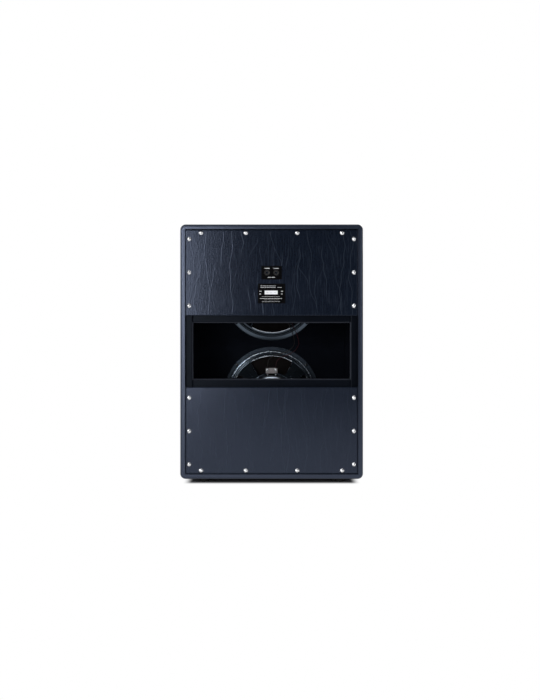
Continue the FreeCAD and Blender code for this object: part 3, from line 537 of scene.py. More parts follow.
def final_shape(thing):
    """Shape of an object as its modifiers leave it; the object is dropped."""
    mesh = bpy.data.meshes.new_from_object(thing.evaluated_get(bpy.context.evaluated_depsgraph_get()))
    bpy.data.objects.remove(thing)
    return shape_of(mesh)


def carved(stock, cutter):
    """Stock less a cutter."""
    kept = linked("carving", mesh_of("carving", stock))
    lost = linked("cutter", mesh_of("cutter", cutter))
    carve = kept.modifiers.new("carve", "BOOLEAN")
    carve.object = lost
    carve.solver = "EXACT"
    shape = final_shape(kept)
    bpy.data.objects.remove(lost)
    return shape


def turned(outline, steps=48, closed=False, swell=None):
    """Body turned about z from (radius, height) points; a radius of 0 is a pole."""
    points, rings = [], []
    for radius, height in outline:
        count = steps if radius else 1
        rings.append(range(len(points), len(points) + count))
        for step in range(count):
            turn = FULL_TURN * step / steps
            reach = radius + (swell(turn, radius) if swell else 0)
            points.append((*polar(reach, turn), height))
    faces = []
    for first, second in zip(rings, rings[1:] + (rings[:1] if closed else [])):
        for step in range(steps):
            ahead = (step + 1) % steps
            corners = (first[step % len(first)], first[ahead % len(first)],
                       second[ahead % len(second)], second[step % len(second)])
            faces.append(list(dict.fromkeys(corners)))
    return np.array(points), faces


def tube(path, radius, sides=10, closed=False, up=(0, 0, 1)):
    """Round tube along a path that never runs along the up direction."""
    path = np.array(path, float)
    runs = np.roll(path, -1, axis=0) - np.roll(path, 1, axis=0) if closed else np.gradient(path, axis=0)
    runs /= np.linalg.norm(runs, axis=1)[:, None]
    across = np.cross(runs, up)
    across /= np.linalg.norm(across, axis=1)[:, None]
    rise = np.cross(across, runs)
    turns = np.arange(sides) * FULL_TURN / sides
    ring = np.cos(turns)[:, None] * across[:, None] + np.sin(turns)[:, None] * rise[:, None]
    points = (path[:, None] + radius * ring).reshape(-1, 3)
    faces = grid_faces(len(path), sides, ring=True, loop=closed)
    if not closed:
        faces += [list(range(sides)), list(range(len(points) - sides, len(points)))]
    return points, faces


def block(low, high, ease=0.0):
    """Box between two corners, its edges eased."""
    work = bmesh.new()
    size = Vector(high) - Vector(low)
    middle = (Vector(high) + Vector(low)) / 2
    bmesh.ops.create_cube(work, size=1, matrix=Matrix.Translation(middle) @ Matrix.Diagonal((*size, 1)))
    if ease:
        bmesh.ops.bevel(work, geom=work.edges[:], offset=ease, segments=3, affect="EDGES", profile=0.5)
    mesh = bpy.data.meshes.new("block")
    work.to_mesh(mesh)
    work.free()
    return shape_of(mesh)


def soft_step(value, low, high):
    """0 below a span, 1 above it, and an eased rise between."""
    share = np.clip((value - low) / (high - low), 0, 1)
    return share * share * (3 - 2 * share)


def way_turn(way):
    """Turn that brings z to a way."""
    return Vector(way).to_track_quat("Z", "Y").to_matrix().to_4x4()


def islands(node):
    """Corner points of each solid of a node, in millimetres."""
    work = bmesh.new()
    work.from_mesh(nodes[node].data)
    bmesh.ops.remove_doubles(work, verts=work.verts, dist=1e-6)
    found = []
    unseen = set(work.verts)
    while unseen:
        solid = set()
        front = {unseen.pop()}
        while front:
            solid |= front
            front = {edge.other_vert(vertex) for vertex in front for edge in vertex.link_edges} - solid
        unseen -= solid
        found.append(np.array([vertex.co / MM for vertex in solid]))
    work.free()
    return sorted(found, key=lambda solid: solid.mean(axis=0).round(3).tolist())


def soften(node, width):
    """Round the sharp edges of a solid."""
    weld = nodes[node].modifiers.new("weld", "WELD")
    weld.merge_threshold = 1e-6
    bevel = nodes[node].modifiers.new("soften", "BEVEL")
    bevel.width = width * MM
    bevel.segments = 3
    bevel.limit_method = "ANGLE"
    bevel.angle_limit = radians(40)


# Speakers: places along a speaker's own axis, from the rear face of its baffle

BAFFLE_REAR = -133.5
CREASE_HEIGHT = 400.0
SLANT = radians(10)
SPEAKERS = {"lower": (0.0, -165.995), "upper": (SLANT, 166.195)}
RIM_RADIUS = 154.995
RIM_BEAD = 1.2
RIM_DEPTH = 3.6
SHEET = 1.6
SHOULDER_DEPTH = 16.0
WINDOW_OUTER, WINDOW_INNER = 126.495, 77.0
WINDOW_HALF_ANGLE = radians(33)
WINDOW_CORNER = 9.0
LEDGE_RADIUS, LEDGE_DEPTH = 75.0, 68.0
LANDING_INNER, LANDING_OUTER = 135.495, 140.695
LANDING_DEPTH = 5.5
CONE_RADIUS = 122.295
COIL_RADIUS = 22.9
CUP_RADIUS = 62.0
STRIP_FACE = LEDGE_DEPTH + SHEET


def speaker_place(which):
    """Matrix from a speaker's own millimetres (x to -X, y up, z to the rear) to the cabinet's."""
    tilt, along = SPEAKERS[which]
    up = Vector((0, sin(tilt), cos(tilt)))
    rear = Vector((0, cos(tilt), -sin(tilt)))
    centre = Vector((0, BAFFLE_REAR, CREASE_HEIGHT)) + along * up
    return Matrix.Translation(centre) @ Matrix((Vector((-1, 0, 0)), up, rear)).transposed().to_4x4()


def wall_depth(radius):
    """Depth of the bowl's sheet at a radius."""
    fall = (LEDGE_DEPTH - SHOULDER_DEPTH) / (WINDOW_OUTER - LEDGE_RADIUS)
    return SHOULDER_DEPTH + SHEET / 2 + (WINDOW_OUTER - radius) * fall


def polar(radius, turn):
    return np.array((radius * cos(turn), radius * sin(turn)))


def bent(first, corner, last, shares):
    """Points on a curve that leaves one place for a corner and reaches another place from it."""
    return [(1 - t) ** 2 * first + 2 * t * (1 - t) * corner + t * t * last for t in shares]


LIP_RADIUS = 1.7
SIDE_STEPS, LIP_FROM, LIP_TO = 12, 7, 10
STEP_BEAD = 1.3
BEAD_POINTS = 160
RIB_OUTLINE = ((0, -20), (1.6, -18.5), (2.6, -15), (3.0, 0), (2.6, 15), (1.6, 18.5), (0, 20))
RIB_SIDES = 16
RIB_PLACE = 100


def window_lip(middle):
    """Rolled lip along the outer edge of a basket window, round its corners and some way down its sides."""
    half, outer = WINDOW_HALF_ANGLE, WINDOW_OUTER
    end = half - WINDOW_CORNER / outer
    sides = np.linspace(outer - WINDOW_CORNER, WINDOW_INNER + WINDOW_CORNER, SIDE_STEPS)
    flat = [polar(reach, -half) for reach in sides[LIP_FROM::-1]]
    flat += bent(flat[-1], polar(outer, -half), polar(outer, -end), np.linspace(0.15, 0.85, 6))
    flat += [polar(outer, turn) for turn in np.linspace(-end, end, 40)]
    flat += bent(flat[-1], polar(outer, half), polar(outer - WINDOW_CORNER, half), np.linspace(0.15, 1, 7))
    flat += [polar(reach, half) for reach in sides[1:LIP_TO]]
    turned_to = np.array(((cos(middle), -sin(middle)), (sin(middle), cos(middle))))
    return tube([(*spot, wall_depth(hypot(*spot))) for spot in np.array(flat) @ turned_to.T], LIP_RADIUS)


def bead_ring(radius, depth, bead):
    """Closed bead round a speaker's axis."""
    turns = np.linspace(0, FULL_TURN, BEAD_POINTS + 1)[:-1]
    return tube([(*polar(radius, turn), depth) for turn in turns], bead, closed=True)


def add_basket_beads(which):
    """Rolled lips of the windows, the rim's rolled edge, a bead within it, and pressed ribs down the spokes.

    The bead within the rim has the bright bare-metal finish on the lower speaker and the basket's paint on the
    upper one: its highlights are real reflections of the lamps, but keeping them to the lower speaker is a
    painted highlight.
    """
    lips = [window_lip(quarter * FULL_TURN / 4) for quarter in range(4)]
    beads = [bead_ring(RIM_RADIUS - RIM_BEAD, RIM_DEPTH, RIM_BEAD)]
    step = bead_ring(LANDING_OUTER - STEP_BEAD, LANDING_DEPTH + SHEET, STEP_BEAD)
    # painted highlight: only the lower speaker's bead is bright bare metal
    (lips if which == "lower" else beads).append(step)
    rib = turned(RIB_OUTLINE, RIB_SIDES)
    lean = way_turn((WINDOW_OUTER - LEDGE_RADIUS, 0, SHOULDER_DEPTH - LEDGE_DEPTH))
    middle = Vector((RIB_PLACE, 0, wall_depth(RIB_PLACE) + SHEET / 2))
    for quarter in range(4):
        turn = Matrix.Rotation((quarter + 0.5) * FULL_TURN / 4, 4, "Z")
        beads.append(moved(rib, turn @ Matrix.Translation(middle) @ lean))
    place = speaker_place(which)
    piece(which + "_window_lips", moved(gathered(lips), place), "basket_paint", "bare_lip")
    piece(which + "_basket_beads", moved(gathered(beads), place), "basket_paint")


SOFT_WALL = 0.8
ROLL_POINTS = 12
SURROUND_FLAT, SURROUND_ROLLS, SURROUND_HEIGHT = 1.2, 2, 2.0
SPIDER_FLAT, SPIDER_ROLLS, SPIDER_HEIGHT = 3.0, 5, 1.8
RING_SECTORS = 36
SECTOR_STEPS = 4


def ring_section(inner, roll_inner, roll_outer, outer, depth, rolls, height):
    """Closed outline of a corrugated ring: flats at both edges and round rolls between."""
    radii = np.concatenate((np.linspace(inner, roll_inner, 3)[:-1],
                            np.linspace(roll_inner, roll_outer, ROLL_POINTS * rolls + 1),
                            np.linspace(roll_outer, outer, 3)[1:]))
    share = np.clip((radii - roll_inner) / (roll_outer - roll_inner), 0, 1)
    front = depth - SOFT_WALL - height * np.sin(share * rolls * pi)
    return np.concatenate((np.stack((radii, front), 1), np.stack((radii, front + SOFT_WALL), 1)[::-1]))


def add_soft_ring(name, which, section, slot, node):
    """Corrugated ring that is held at its outer edge and follows the cone at its inner edge."""
    place = speaker_place(which)
    faces = grid_faces(SECTOR_STEPS + 1, len(section), ring=True)
    objects = []
    for sector in range(RING_SECTORS):
        turns = (sector + np.arange(SECTOR_STEPS + 1) / SECTOR_STEPS) * FULL_TURN / RING_SECTORS
        points = np.array([(*polar(radius, turn), depth) for turn in turns for radius, depth in section])
        mesh = bpy.data.meshes.new(name)
        mesh.from_pydata((moved((points, faces), place)[0] * MM).tolist(), [], faces)
        mesh.materials.append(finishes[slot])
        made = linked(name + "_%02d" % sector if sector else name, mesh)
        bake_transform(made)
        objects.append(made)
    with bpy.context.temp_override(active_object=objects[0], selected_editable_objects=objects):
        bpy.ops.object.join()
    ring = objects[0]
    cleaned(ring.data, weld=1e-7)
    ring.data.shade_smooth()
    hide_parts(node)


def add_suspension(which):
    surround = ring_section(CONE_RADIUS, CONE_RADIUS + SURROUND_FLAT, LANDING_INNER - SURROUND_FLAT,
                            LANDING_OUTER, LANDING_DEPTH, SURROUND_ROLLS, SURROUND_HEIGHT)
    add_soft_ring(which + "_surround_ring", which, surround, "cone_paper",
                  which + "_surround")
    inner, outer = COIL_RADIUS + SPIDER_FLAT, CUP_RADIUS - SPIDER_FLAT
    spider = ring_section(COIL_RADIUS, inner, outer, LEDGE_RADIUS - SPIDER_FLAT, LEDGE_DEPTH,
                          SPIDER_ROLLS, SPIDER_HEIGHT)
    add_soft_ring(which + "_spider_ring", which, spider, "spider_cloth", which + "_spider")


# Terminals: half width, span up the basket, span behind the strip's face, and ease of each block
TAB = (18.5, 65, 90.5, 0, 1.2, 0.4)
STRIP = (18.5, 73.6, 91, 1.0, 4.2, 0.7)
STRIP_RIB = (1.1, 74.2, 90.4, 3.8, 5.0, 0.4)
LUG_FOOT = (2.5, 80, 88, 4.0, 4.8, 0.2)
LUG_BLADE = (2.5, 87.2, 88, 4.2, 14, 0.2)
STRIP_RIBS = (-17.2, 0, 17.2)
LUGS = (-13.0, 13.0)
RIVET_OUTLINE = ((0, 2.6), (1.2, 2.5), (2.0, 2.0), (2.4, 1.2), (2.4, 1.0), (0, 1.0))
RIVETS = ((69, 0), (83.4, 3.4))


def add_terminals(which):
    """Pale terminal block on a dark tab, with its rivets and bent lugs."""
    def part(x, half, low, high, front, rear, ease):
        return block((x - half, low, STRIP_FACE + front), (x + half, high, STRIP_FACE + rear), ease)
    place = speaker_place(which)
    piece(which + "_terminal_tab", moved(part(0, *TAB), place), "black_steel")
    strip = [part(0, *STRIP)] + [part(x, *STRIP_RIB) for x in STRIP_RIBS]
    piece(which + "_terminal_block", moved(gathered(strip), place), "strip_fibre",
          stands_for=[which + "_terminal_strip"])
    rivet = turned(RIVET_OUTLINE, 24)
    metal = []
    for x in LUGS:
        metal += [part(x, *LUG_FOOT), part(x, *LUG_BLADE)]
        for y, rise in RIVETS:
            metal.append(moved(rivet, Matrix.Translation((x, y, STRIP_FACE + rise))))
    piece(which + "_terminal_lugs", moved(gathered(metal), place), "zinc_steel")


# Screws, with crossed recesses: shares of a head's radius and rise, and of the recess for the dark insert that
# paints its shade

RECESS_ARM, RECESS_WIDTH, RECESS_DEPTH = 0.60, 0.34, 0.45
RECESS_TAPER = 0.45
# Size, depth and sink of the dark insert that paints the recess's shade, as shares of the recess
RECESS_SHADE = (0.85, 0.42, 0.62)
RIM_SHARE = 0.97
REAR = (0, 1, 0)


def cross_wedge(radius, rise, size=1.0, deep=1.0, sink=0.0):
    """Crossed wedge in a head, narrower at its floor: the recess, or a dark insert sunk in it as painted shade.
    """
    arm, half = size * RECESS_ARM * radius, size * RECESS_WIDTH * radius / 2
    depth = deep * RECESS_DEPTH * rise
    middle = rise - sink * RECESS_DEPTH * rise
    outline = []
    for turns in range(4):
        for x, y in ((half, half), (half, arm), (-half, arm)):
            for _ in range(turns):
                x, y = -y, x
            outline.append((x, y))
    points = [(x, y, middle + depth) for x, y in outline]
    points += [(RECESS_TAPER * x, RECESS_TAPER * y, middle - depth) for x, y in outline]
    count = len(outline)
    ends = [list(range(count)), list(range(count, 2 * count))]
    return np.array(points), grid_faces(2, count, ring=True) + ends


def screw_head(radius, rise, crown):
    """Head on z = 0: a short wall, a crown above it, and a crossed recess."""
    wall = rise - crown
    outline = [(0, 0), (radius, 0), (radius, wall)]
    for turn in np.linspace(0.15, 0.9, 8) * pi / 2:
        outline.append((radius * cos(turn) ** 0.8, wall + crown * sin(turn)))
    outline.append((0, rise))
    return carved(turned(outline, 40), cross_wedge(radius, rise))


def screw_seat(solid, turn):
    """Seat of a screw's head that faces along the turned z, and the head's radius and rise."""
    local = solid @ np.array(turn)
    low, high = local.min(axis=0), local.max(axis=0)
    middle = (low + high) / 2
    radius = (high[0] - low[0]) / 2
    reach = np.linalg.norm(local[:, :2] - middle[:2], axis=1)
    seat = local[reach > RIM_SHARE * radius, 2].min()
    return turn @ Vector((middle[0], middle[1], seat)), radius, high[2] - seat


def add_screws(name, node, slot, choose, crown_share, rng, finish=None):
    """Detailed heads for a node's screws, with painted shade in their recesses from a dark insert; choose gives
    a head's outward way.
    """
    def way(solid):
        return choose(solid.mean(axis=0))
    heads, recess_shades, made = [], [], {}
    for solid in sorted(islands(node), key=way):
        turn = way_turn(way(solid))
        spot, radius, rise = screw_seat(solid, turn.to_3x3())
        key = (round(radius, 2), round(rise, 2))
        if key not in made:
            made[key] = screw_head(*key, crown_share * rise)
        place = Matrix.Translation(spot) @ turn @ Matrix.Rotation(rng.uniform(0, FULL_TURN), 4, "Z")
        heads.append(moved(made[key], place))
        # painted shade: a dark insert sunk in each recess
        recess_shades.append(moved(cross_wedge(*key, *RECESS_SHADE), place))
    piece(name, gathered(heads), slot, finish, stands_for=[node])
    # the dark inserts, as painted shade in the recesses
    piece(name + "_recess_shades", gathered(recess_shades), slot, "label_film")


def add_all_screws():
    rng = random.Random(12)
    tilted = (0, cos(SLANT), -sin(SLANT))
    add_screws("panel_screw_heads", "back_panel_screws", "nickel", lambda at: REAR, 0.9, rng)
    add_screws("speaker_screw_heads", "speaker_screws", "black_steel",
               lambda at: tilted if at[2] > CREASE_HEIGHT else REAR, 0.6, rng, "screw_black")
    add_screws("handle_screw_heads", "handle_screws", "black_steel",
               lambda at: (copysign(1, at[0]), 0, 0), 0.6, rng)
    add_screws("plate_screw_heads", "jack_plate_screws", "black_steel", lambda at: REAR, 0.8, rng)
    add_screws("foot_screw_heads", "foot_screws", "zinc_steel", lambda at: (0, 0, -1), 0.5, rng)


# Back panels: raised lines in their facing, and the covering in their seams

PANEL_FACE = 167.5
FACING_INSET = 2.8
FACING_RISE = 0.05
FACING_SINK = 0.3
FACING_COLUMNS, FACING_ROWS = 640, 88
CREST_RISE = 0.18
CREST_MARGIN = 5
LINE_WAVES = (((3, 9), (150, 290)), ((1.0, 2.4), (48, 85)))
LINE_PAST, LINE_SHORT, LINE_LENGTHS = 40, 90, (70, 190)
LINE_FADE, LINE_STRENGTHS, LINE_WIDTHS = 30, (0.4, 1.0), (0.38, 0.75)
FORK_SHORT, FORK_LENGTHS = 70, (45, 110)
FORK_OUT, FORK_IN, FORK_STRENGTHS, FORK_WIDTHS = 4, 8, (0.4, 0.8), (0.38, 0.65)
SEAM_WIDTH = 1.5
SEAM_PLAY = 0.05
SEAM_SINK = 1.8
SEAM_FOLD = 6.0


def crest_lines(rng, rows, reach, gaps, whole_share, fork_share):
    """Long wavy lines up a panel: each line's places across and strengths by row, and its half width."""
    low, high = rows[0], rows[-1]
    lines, mains = [], []
    place = -reach + rng.uniform(*gaps)
    while place < reach:
        across = np.full(len(rows), place)
        for sway, length in [(rng.uniform(*sways), rng.uniform(*lengths)) for sways, lengths in LINE_WAVES]:
            across += sway * np.sin(FULL_TURN * (rows / length + rng.random()))
        start, end = low - LINE_PAST, high + LINE_PAST
        if rng.random() > whole_share:
            start = rng.uniform(low - LINE_PAST, high - LINE_SHORT)
            end = start + rng.uniform(*LINE_LENGTHS)
        strength = rng.uniform(*LINE_STRENGTHS) * soft_step(rows, start, start + LINE_FADE)
        strength *= 1 - soft_step(rows, end - LINE_FADE, end)
        lines.append((across, strength, rng.uniform(*LINE_WIDTHS)))
        mains.append(across)
        place += rng.uniform(*gaps)
    for first, second in zip(mains, mains[1:]):
        if rng.random() < fork_share:
            start = rng.uniform(low, high - FORK_SHORT)
            end = start + rng.uniform(*FORK_LENGTHS)
            share = soft_step(rows, start, end)
            if rng.random() < 0.5:
                share = 1 - share
            strength = rng.uniform(*FORK_STRENGTHS) * soft_step(rows, start - FORK_OUT, start + FORK_IN)
            strength *= 1 - soft_step(rows, end - FORK_IN, end + FORK_OUT)
            lines.append((first + (second - first) * share, strength, rng.uniform(*FORK_WIDTHS)))
    return lines


def add_facing(node, rng, strength, gaps, whole_share, fork_share, finish):
    """Thin facing on a back panel, its lines raised and marked for the finish."""
    low, high = [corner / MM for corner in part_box(node)]
    reach = high.x - FACING_INSET
    wide, tall = FACING_COLUMNS, FACING_ROWS
    columns = np.linspace(-reach, reach, wide)
    rows = np.linspace(low.z + FACING_INSET, high.z - FACING_INSET, tall)
    crest = np.zeros((tall, wide))
    for across, power, width in crest_lines(rng, rows, reach, gaps, whole_share, fork_share):
        crest = np.maximum(crest, power[:, None] * np.exp(-((columns - across[:, None]) / width) ** 2))
    edge_gap = np.minimum(reach - np.abs(columns), np.minimum(rows - rows[0], rows[-1] - rows)[:, None])
    crest *= strength * soft_step(edge_gap, 0, CREST_MARGIN)
    x, z = np.meshgrid(columns, rows)
    front = np.stack((x, PANEL_FACE + FACING_RISE + CREST_RISE * crest, z), 2).reshape(-1, 3)
    spots = np.arange(tall * wide).reshape(tall, wide)
    border = np.concatenate((spots[0], spots[1:, -1], spots[-1, -2::-1], spots[-2:0:-1, 0])).tolist()
    rear = front[border]
    rear[:, 1] = PANEL_FACE - FACING_SINK
    start, count = len(front), len(border)
    faces = grid_faces(tall, wide)
    faces += [[border[spot], border[(spot + 1) % count], start + (spot + 1) % count, start + spot]
              for spot in range(count)]
    faces.append(list(range(start, start + count)))
    made = piece(node + "_facing", (np.concatenate((front, rear)), faces), "faced_panel", finish)
    marks = made.data.attributes.new("crest", "FLOAT", "POINT")
    marks.data.foreach_set("value", np.concatenate((crest.reshape(-1), np.zeros(count))).astype(np.float32))


def add_facings():
    rng = random.Random(41)
    add_facing("upper_back_panel", rng, 1.0, (10, 30), 0.4, 0.8, "faced_panel")
    add_facing("lower_back_panel", rng, 0.38, (8, 22), 0.4, 0.35, "lower_facing")


def add_seams():
    """Covering of the shell turned into the seams beside and below the panels."""
    bottom, top = PANEL_FACE - SEAM_SINK - SEAM_FOLD, PANEL_FACE - SEAM_SINK
    folds = []
    for node in ("upper_back_panel", "lower_back_panel"):
        low, high = [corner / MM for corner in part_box(node)]
        near, wide = high.x + SEAM_PLAY, high.x + SEAM_WIDTH - SEAM_PLAY
        for left, right in ((-wide, -near), (near, wide)):
            folds.append(block((left, bottom, low.z), (right, top, high.z)))
    folds.append(block((-wide, bottom, low.z - SEAM_WIDTH + SEAM_PLAY), (wide, top, low.z - SEAM_PLAY)))
    piece("panel_seam_folds", gathered(folds), "vinyl")


# Jack plate and label: rows of print give a height, both ends across and the height of the bars

LABEL_FACE = 167.9
PLATE_FACE = 169.0
PRINT_RISE = 0.06
TO_REAR_VIEW = Matrix(((-1, 0, 0, 0), (0, 0, 1, 0), (0, 1, 0, 0), (0, 0, 0, 1)))
LABEL_BOX = (1.4, 562.9, 38.5, 11.2)
LABEL_ROWS = ((582.4, 33, -12, 0.9), (577.9, 33, -12, 0.9), (577.9, -17, -29.5, 0.8),
              (566.6, 36, 30, 1.4), (558.4, 36, 30, 1.6), (566.6, -28, -33.5, 1.4),
              (558.4, -28, -33.5, 1.4), (550.9, 28.5, -24.5, 0.5), (545.2, 34, -31, 1),
              (541, 22, -22, 0.35), (536, 28.5, -24.5, 0.6))
PLATE_ROWS = ((634.2, 19.5, 6, 1.4), (634.2, -7, -20.5, 1.4), (607.7, 11.5, 1.8, 1.4),
              (607.7, 0.2, -9.5, 1.4))
BAR_WIDTHS, BAR_GAP, BAR_LEAST = (4, 11), 1.3, 2
DASH_WIDTH, DASH_HEIGHT, DASHES = 5, 0.4, (-11, 0, 11)
FIGURE_HEIGHT, FIGURE_LEVEL, FIGURES = 2.6, 633.2, {"1": 21.8, "2": -4.7}
CAPITAL_SHARE = 0.7


def printed(x, z, width, height, face):
    """Thin printed bar on a face that looks to the rear."""
    return block((x - width / 2, face - PRINT_RISE, z - height / 2),
                 (x + width / 2, face + PRINT_RISE, z + height / 2))


def numeral(text, x):
    """Printed figure on the jack plate."""
    curve = bpy.data.curves.new("figure", "FONT")
    curve.body = text
    curve.size = FIGURE_HEIGHT / CAPITAL_SHARE
    curve.align_x = "CENTER"
    curve.extrude = PRINT_RISE
    place = Matrix.Translation((x, PLATE_FACE, FIGURE_LEVEL))
    return moved(final_shape(linked("figure", curve)), place @ TO_REAR_VIEW)


def bar_row(rng, z, start, end, height):
    """Row of short bars on the label between two places."""
    bars = []
    while start - end > BAR_LEAST:
        width = min(rng.uniform(*BAR_WIDTHS), start - end)
        bars.append(printed(start - width / 2, z, width, height, LABEL_FACE))
        start -= width + BAR_GAP
    return bars


def add_prints():
    rng = random.Random(8)
    bars = [printed(*LABEL_BOX, LABEL_FACE)]
    for row in LABEL_ROWS:
        bars += bar_row(rng, *row)
    piece("label_print", gathered(bars), "label_film", "print")
    x, z, _, _ = LABEL_BOX
    dashes = [printed(x + aside, z, DASH_WIDTH, DASH_HEIGHT, LABEL_FACE + PRINT_RISE) for aside in DASHES]
    piece("label_dashes", gathered(dashes), "label_film")
    marks = [numeral(text, place) for text, place in FIGURES.items()]
    for z, start, end, height in PLATE_ROWS:
        marks.append(printed((start + end) / 2, z, start - end, height, PLATE_FACE))
    piece("jack_plate_print", gathered(marks), "black_steel", "print")


NUT_OUTLINE = ((4.85, 0), (7.9, 0), (8.4, 0.4), (8.4, 1.7), (7.8, 2.2), (5.8, 2.2), (4.85, 1.7))
NUT_STEPS = 180
KNURLS, KNURL_DEPTH, KNURL_FROM = 30, 0.25, 8.2
SOLDER_LENGTHS, SOLDER_GIRTHS = (2.4, 3.0), (1.7, 2.0)


def add_jack_nuts():
    """Knurled round nuts."""
    def knurl(turn, radius):
        return KNURL_DEPTH * cos(KNURLS * turn) if radius > KNURL_FROM else 0
    nut = turned(NUT_OUTLINE, NUT_STEPS, closed=True, swell=knurl)
    nuts = []
    for solid in islands("jack_nuts"):
        x, _, z = (solid.min(axis=0) + solid.max(axis=0)) / 2
        nuts.append(moved(nut, Matrix.Translation((x, PLATE_FACE, z)) @ way_turn(REAR)))
    piece("knurled_nuts", gathered(nuts), "jack_plastic", stands_for=["jack_nuts"])


def add_solder():
    """Solder at both ends of every wire."""
    rng = random.Random(5)
    blobs = []
    for route in WIRE_ROUTES.values():
        for end, ahead in ((route[0], route[1]), (route[-1], route[-2])):
            length = rng.uniform(*SOLDER_LENGTHS)
            girth = rng.uniform(*SOLDER_GIRTHS)
            outline = [(girth * sin(turn) * (0 < turn < pi), -length * cos(turn))
                       for turn in np.linspace(0, pi, 11)]
            run = Vector(ahead) - Vector(end)
            blobs.append(moved(turned(outline, 20), Matrix.Translation(end) @ way_turn(run)))
    piece("solder_joints", gathered(blobs), "zinc_steel")


# Grille cloth, pulled over the baffles and round their edges

CLOTH_HALF_WIDTH = 255.3
CLOTH_FRONT = -152.4
CLOTH_LOW, CLOTH_HIGH = 26.7, 749.3
CLOTH_WALL = 0.7
CLOTH_TURN_IN = 18.0
CLOTH_FOLD = 2.0
CLOTH_BEND = 30.0
CLOTH_COLUMNS, CLOTH_ROWS = 90, 120


def front_line(along):
    """Place and inward way on the cloth's front at a distance up it, eased at the crease."""
    run = CREASE_HEIGHT + (BAFFLE_REAR - CLOTH_FRONT) * tan(SLANT / 2) - CLOTH_LOW
    lean = SLANT * np.clip((along - run + CLOTH_BEND / 2) / CLOTH_BEND, 0, 1)
    steps = np.gradient(along)
    y = np.cumsum(np.sin(lean) * steps)
    z = np.cumsum(np.cos(lean) * steps)
    middle = np.zeros_like(along)
    place = np.stack((middle, CLOTH_FRONT + y - y[0], CLOTH_LOW + z - z[0]), 1)
    return place, np.stack((middle, np.cos(lean), -np.sin(lean)), 1)


def turned_in(count, length):
    """Distances along a side of the cloth, and how deep each lies in the fold round either end."""
    fold = np.linspace(0, pi / 2, 5)
    out, rise = CLOTH_FOLD * (1 - np.cos(fold)), CLOTH_FOLD * (1 - np.sin(fold))
    deep = np.linspace(CLOTH_TURN_IN, CLOTH_FOLD, 4)[:3]
    along = np.concatenate((np.zeros(3), out, np.linspace(0, length, count)[1:-1], length - out[::-1],
                            np.full(3, length)))
    sunk = np.concatenate((deep, rise, np.zeros(count - 2), rise[::-1], deep[::-1]))
    order = np.argsort(along, kind="stable")
    return along[order], sunk[order]


def add_grille_cloth():
    rise = (CLOTH_HIGH - CREASE_HEIGHT) / cos(SLANT) + CREASE_HEIGHT - CLOTH_LOW
    across, side_sunk = turned_in(CLOTH_COLUMNS, 2 * CLOTH_HALF_WIDTH)
    along, end_sunk = turned_in(CLOTH_ROWS, rise)
    place, inward = front_line(along)
    across -= CLOTH_HALF_WIDTH
    sunk = np.maximum(side_sunk, end_sunk[:, None])
    points = place[:, None] + across[:, None] * np.array((1, 0, 0))
    points = (points + sunk[:, :, None] * inward[:, None]).reshape(-1, 3)
    cloth = piece("grille_cloth_sheet", (points, grid_faces(len(along), len(across))), "grille_cloth",
                  stands_for=["grille_cloth"])
    cleaned(cloth.data, weld=1e-5)
    thick = cloth.modifiers.new("thickness", "SOLIDIFY")
    thick.thickness = CLOTH_WALL * MM
    thick.offset = -1


# Stage: pale floor, white surroundings behind the object, a dark room before it, and soft lamps

# Each row: a lamp's name, place, width, height and power
LAMPS = (("left_softbox", (0.87, 3.0, 0.58), 0.8, 1.1, 24),
         ("left_strip", (1.1, 2.6, 1.12), 0.3, 0.6, 14),
         ("right_softbox", (-1.5, 2.6, 0.7), 0.6, 1.0, 9),
         ("high_softbox", (0, 2.4, 2.2), 2.4, 0.5, 3),
         ("side_softbox", (2.4, 0.6, 0.9), 1.2, 1.6, 10),
         ("overhead_softbox", (0.3, 0.5, 3.0), 2.4, 2.4, 3),
         ("front_fill", (-1.2, -2.6, 1.6), 1.6, 1.6, 45))
LAMP_TARGET = (0, 0.1, 0.45)
FLOOR_REACH = 2.6
# Painted shadow under the object: spans beside it and behind it, and how far past its rear it reaches;
# SHADE_FAR is where the mirrored floor is dark; SHADE is their tone
SHADE_BESIDE = (0.87, 0.98)
SHADE_BEHIND, SHADE_PAST = 0.86, 0.018
SHADE_FAR = (0.8, 2.4)
SHADE = (0.16, 0.16, 0.17)
ROOM_TONE = (0.80, 0.87, 1.0, 1)


def add_lamps():
    for name, place, width, height, power in LAMPS:
        data = bpy.data.lights.new(name, "AREA")
        data.shape = "RECTANGLE"
        data.size = width
        data.size_y = height
        data.energy = power
        lamp = linked(name, data)
        lamp.location = place
        lamp.rotation_euler = (Vector(LAMP_TARGET) - Vector(place)).to_track_quat("-Z", "Y").to_euler()


def ray(f, kind):
    """1 where a surface is met by rays of one kind."""
    return f.node("ShaderNodeLightPath", output="Is %s Ray" % kind)


def seen_directly(f):
    """1 where the camera, a mirror or a glass sees a surface, 0 where it only lights others."""
    return f.least(ray(f, "Camera") + ray(f, "Glossy") + ray(f, "Transmission"), 1.0)


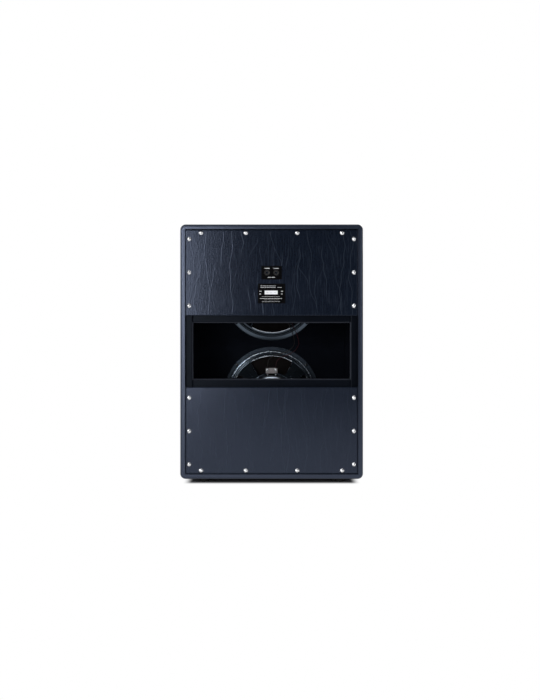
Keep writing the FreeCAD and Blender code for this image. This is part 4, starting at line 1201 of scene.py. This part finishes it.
def add_floor():
    """White floor whose real shadow under the object is deepened by a painted shadow, and which is dark far off
    where it is mirrored.
    """
    f = Finish("floor")
    speckle = f.cloud(60, 3)
    paint = f.between(speckle, (0.80, 0.80, 0.80), (0.84, 0.84, 0.84))
    beside = f.eased(f.size(f.axis("X")), *(share * cad_high.x for share in SHADE_BESIDE))
    behind = f.eased(f.size(f.axis("Y")), SHADE_BEHIND * cad_high.y, cad_high.y + SHADE_PAST)
    # painted shadow: mask under the object, on top of its real shadow
    under = (1 - beside) * (1 - behind)
    far = f.eased(f.axis("Y"), *SHADE_FAR) * ray(f, "Glossy")
    shade = f.most(under, far)
    # the floor's colour goes to the painted shadow tone under the object, and to the same tone far off in
    # mirrors
    plain = f.node("ShaderNodeBsdfDiffuse", {"Color": f.between(shade, paint, SHADE)})
    white = f.node("ShaderNodeEmission")
    pale = f.node("ShaderNodeMixShader", {0: shade, 1: white, 2: plain})
    mixed = f.node("ShaderNodeMixShader", {0: seen_directly(f), 1: plain, 2: pale})
    f.node("ShaderNodeOutputMaterial", {"Surface": mixed})
    corners = [(x * FLOOR_REACH, y * FLOOR_REACH, 0) for x, y in ((-1, -1), (1, -1), (1, 1), (-1, 1))]
    mesh = bpy.data.meshes.new("floor")
    mesh.from_pydata(corners, [], [(0, 1, 2, 3)])
    mesh.materials.append(f.holder)
    linked("floor", mesh)


def add_world():
    w = Finish("world", bpy.data.worlds)
    bpy.context.scene.world = w.holder
    w.place = w.node("ShaderNodeTexCoord", output="Generated")
    behind_camera = w.eased(w.axis("Y") + w.axis("Z") * 0.45, 0.72, 0.92)
    right_side = 1 - w.eased(w.axis("X"), -0.3, 0.2)
    room = (1 - (1 - behind_camera) * (1 - right_side * 0.75)) * (1 - ray(w, "Camera"))
    glow = w.node("ShaderNodeBackground", {"Color": ROOM_TONE, "Strength": 0.36})
    white = w.node("ShaderNodeBackground", {"Color": (1, 1, 1, 1)})
    dark = w.node("ShaderNodeBackground", {"Color": ROOM_TONE, "Strength": 0.055})
    surround = w.node("ShaderNodeMixShader", {0: room, 1: white, 2: dark})
    sky = w.node("ShaderNodeMixShader", {0: seen_directly(w), 1: glow, 2: surround})
    w.node("ShaderNodeOutputWorld", {"Surface": sky})


bpy.context.scene.view_settings.view_transform = "Standard"
add_camera()
finishes = make_finishes()
dress_solids()
add_wires()
for which in SPEAKERS:
    add_leads(which)
    add_suspension(which)
    add_basket_beads(which)
    add_terminals(which)
add_all_screws()
add_facings()
add_seams()
add_prints()
add_jack_nuts()
add_solder()
add_grille_cloth()
soften("grille_piping", 1.3)
soften("rubber_feet", 1.0)
add_floor()
add_world()
add_lamps()
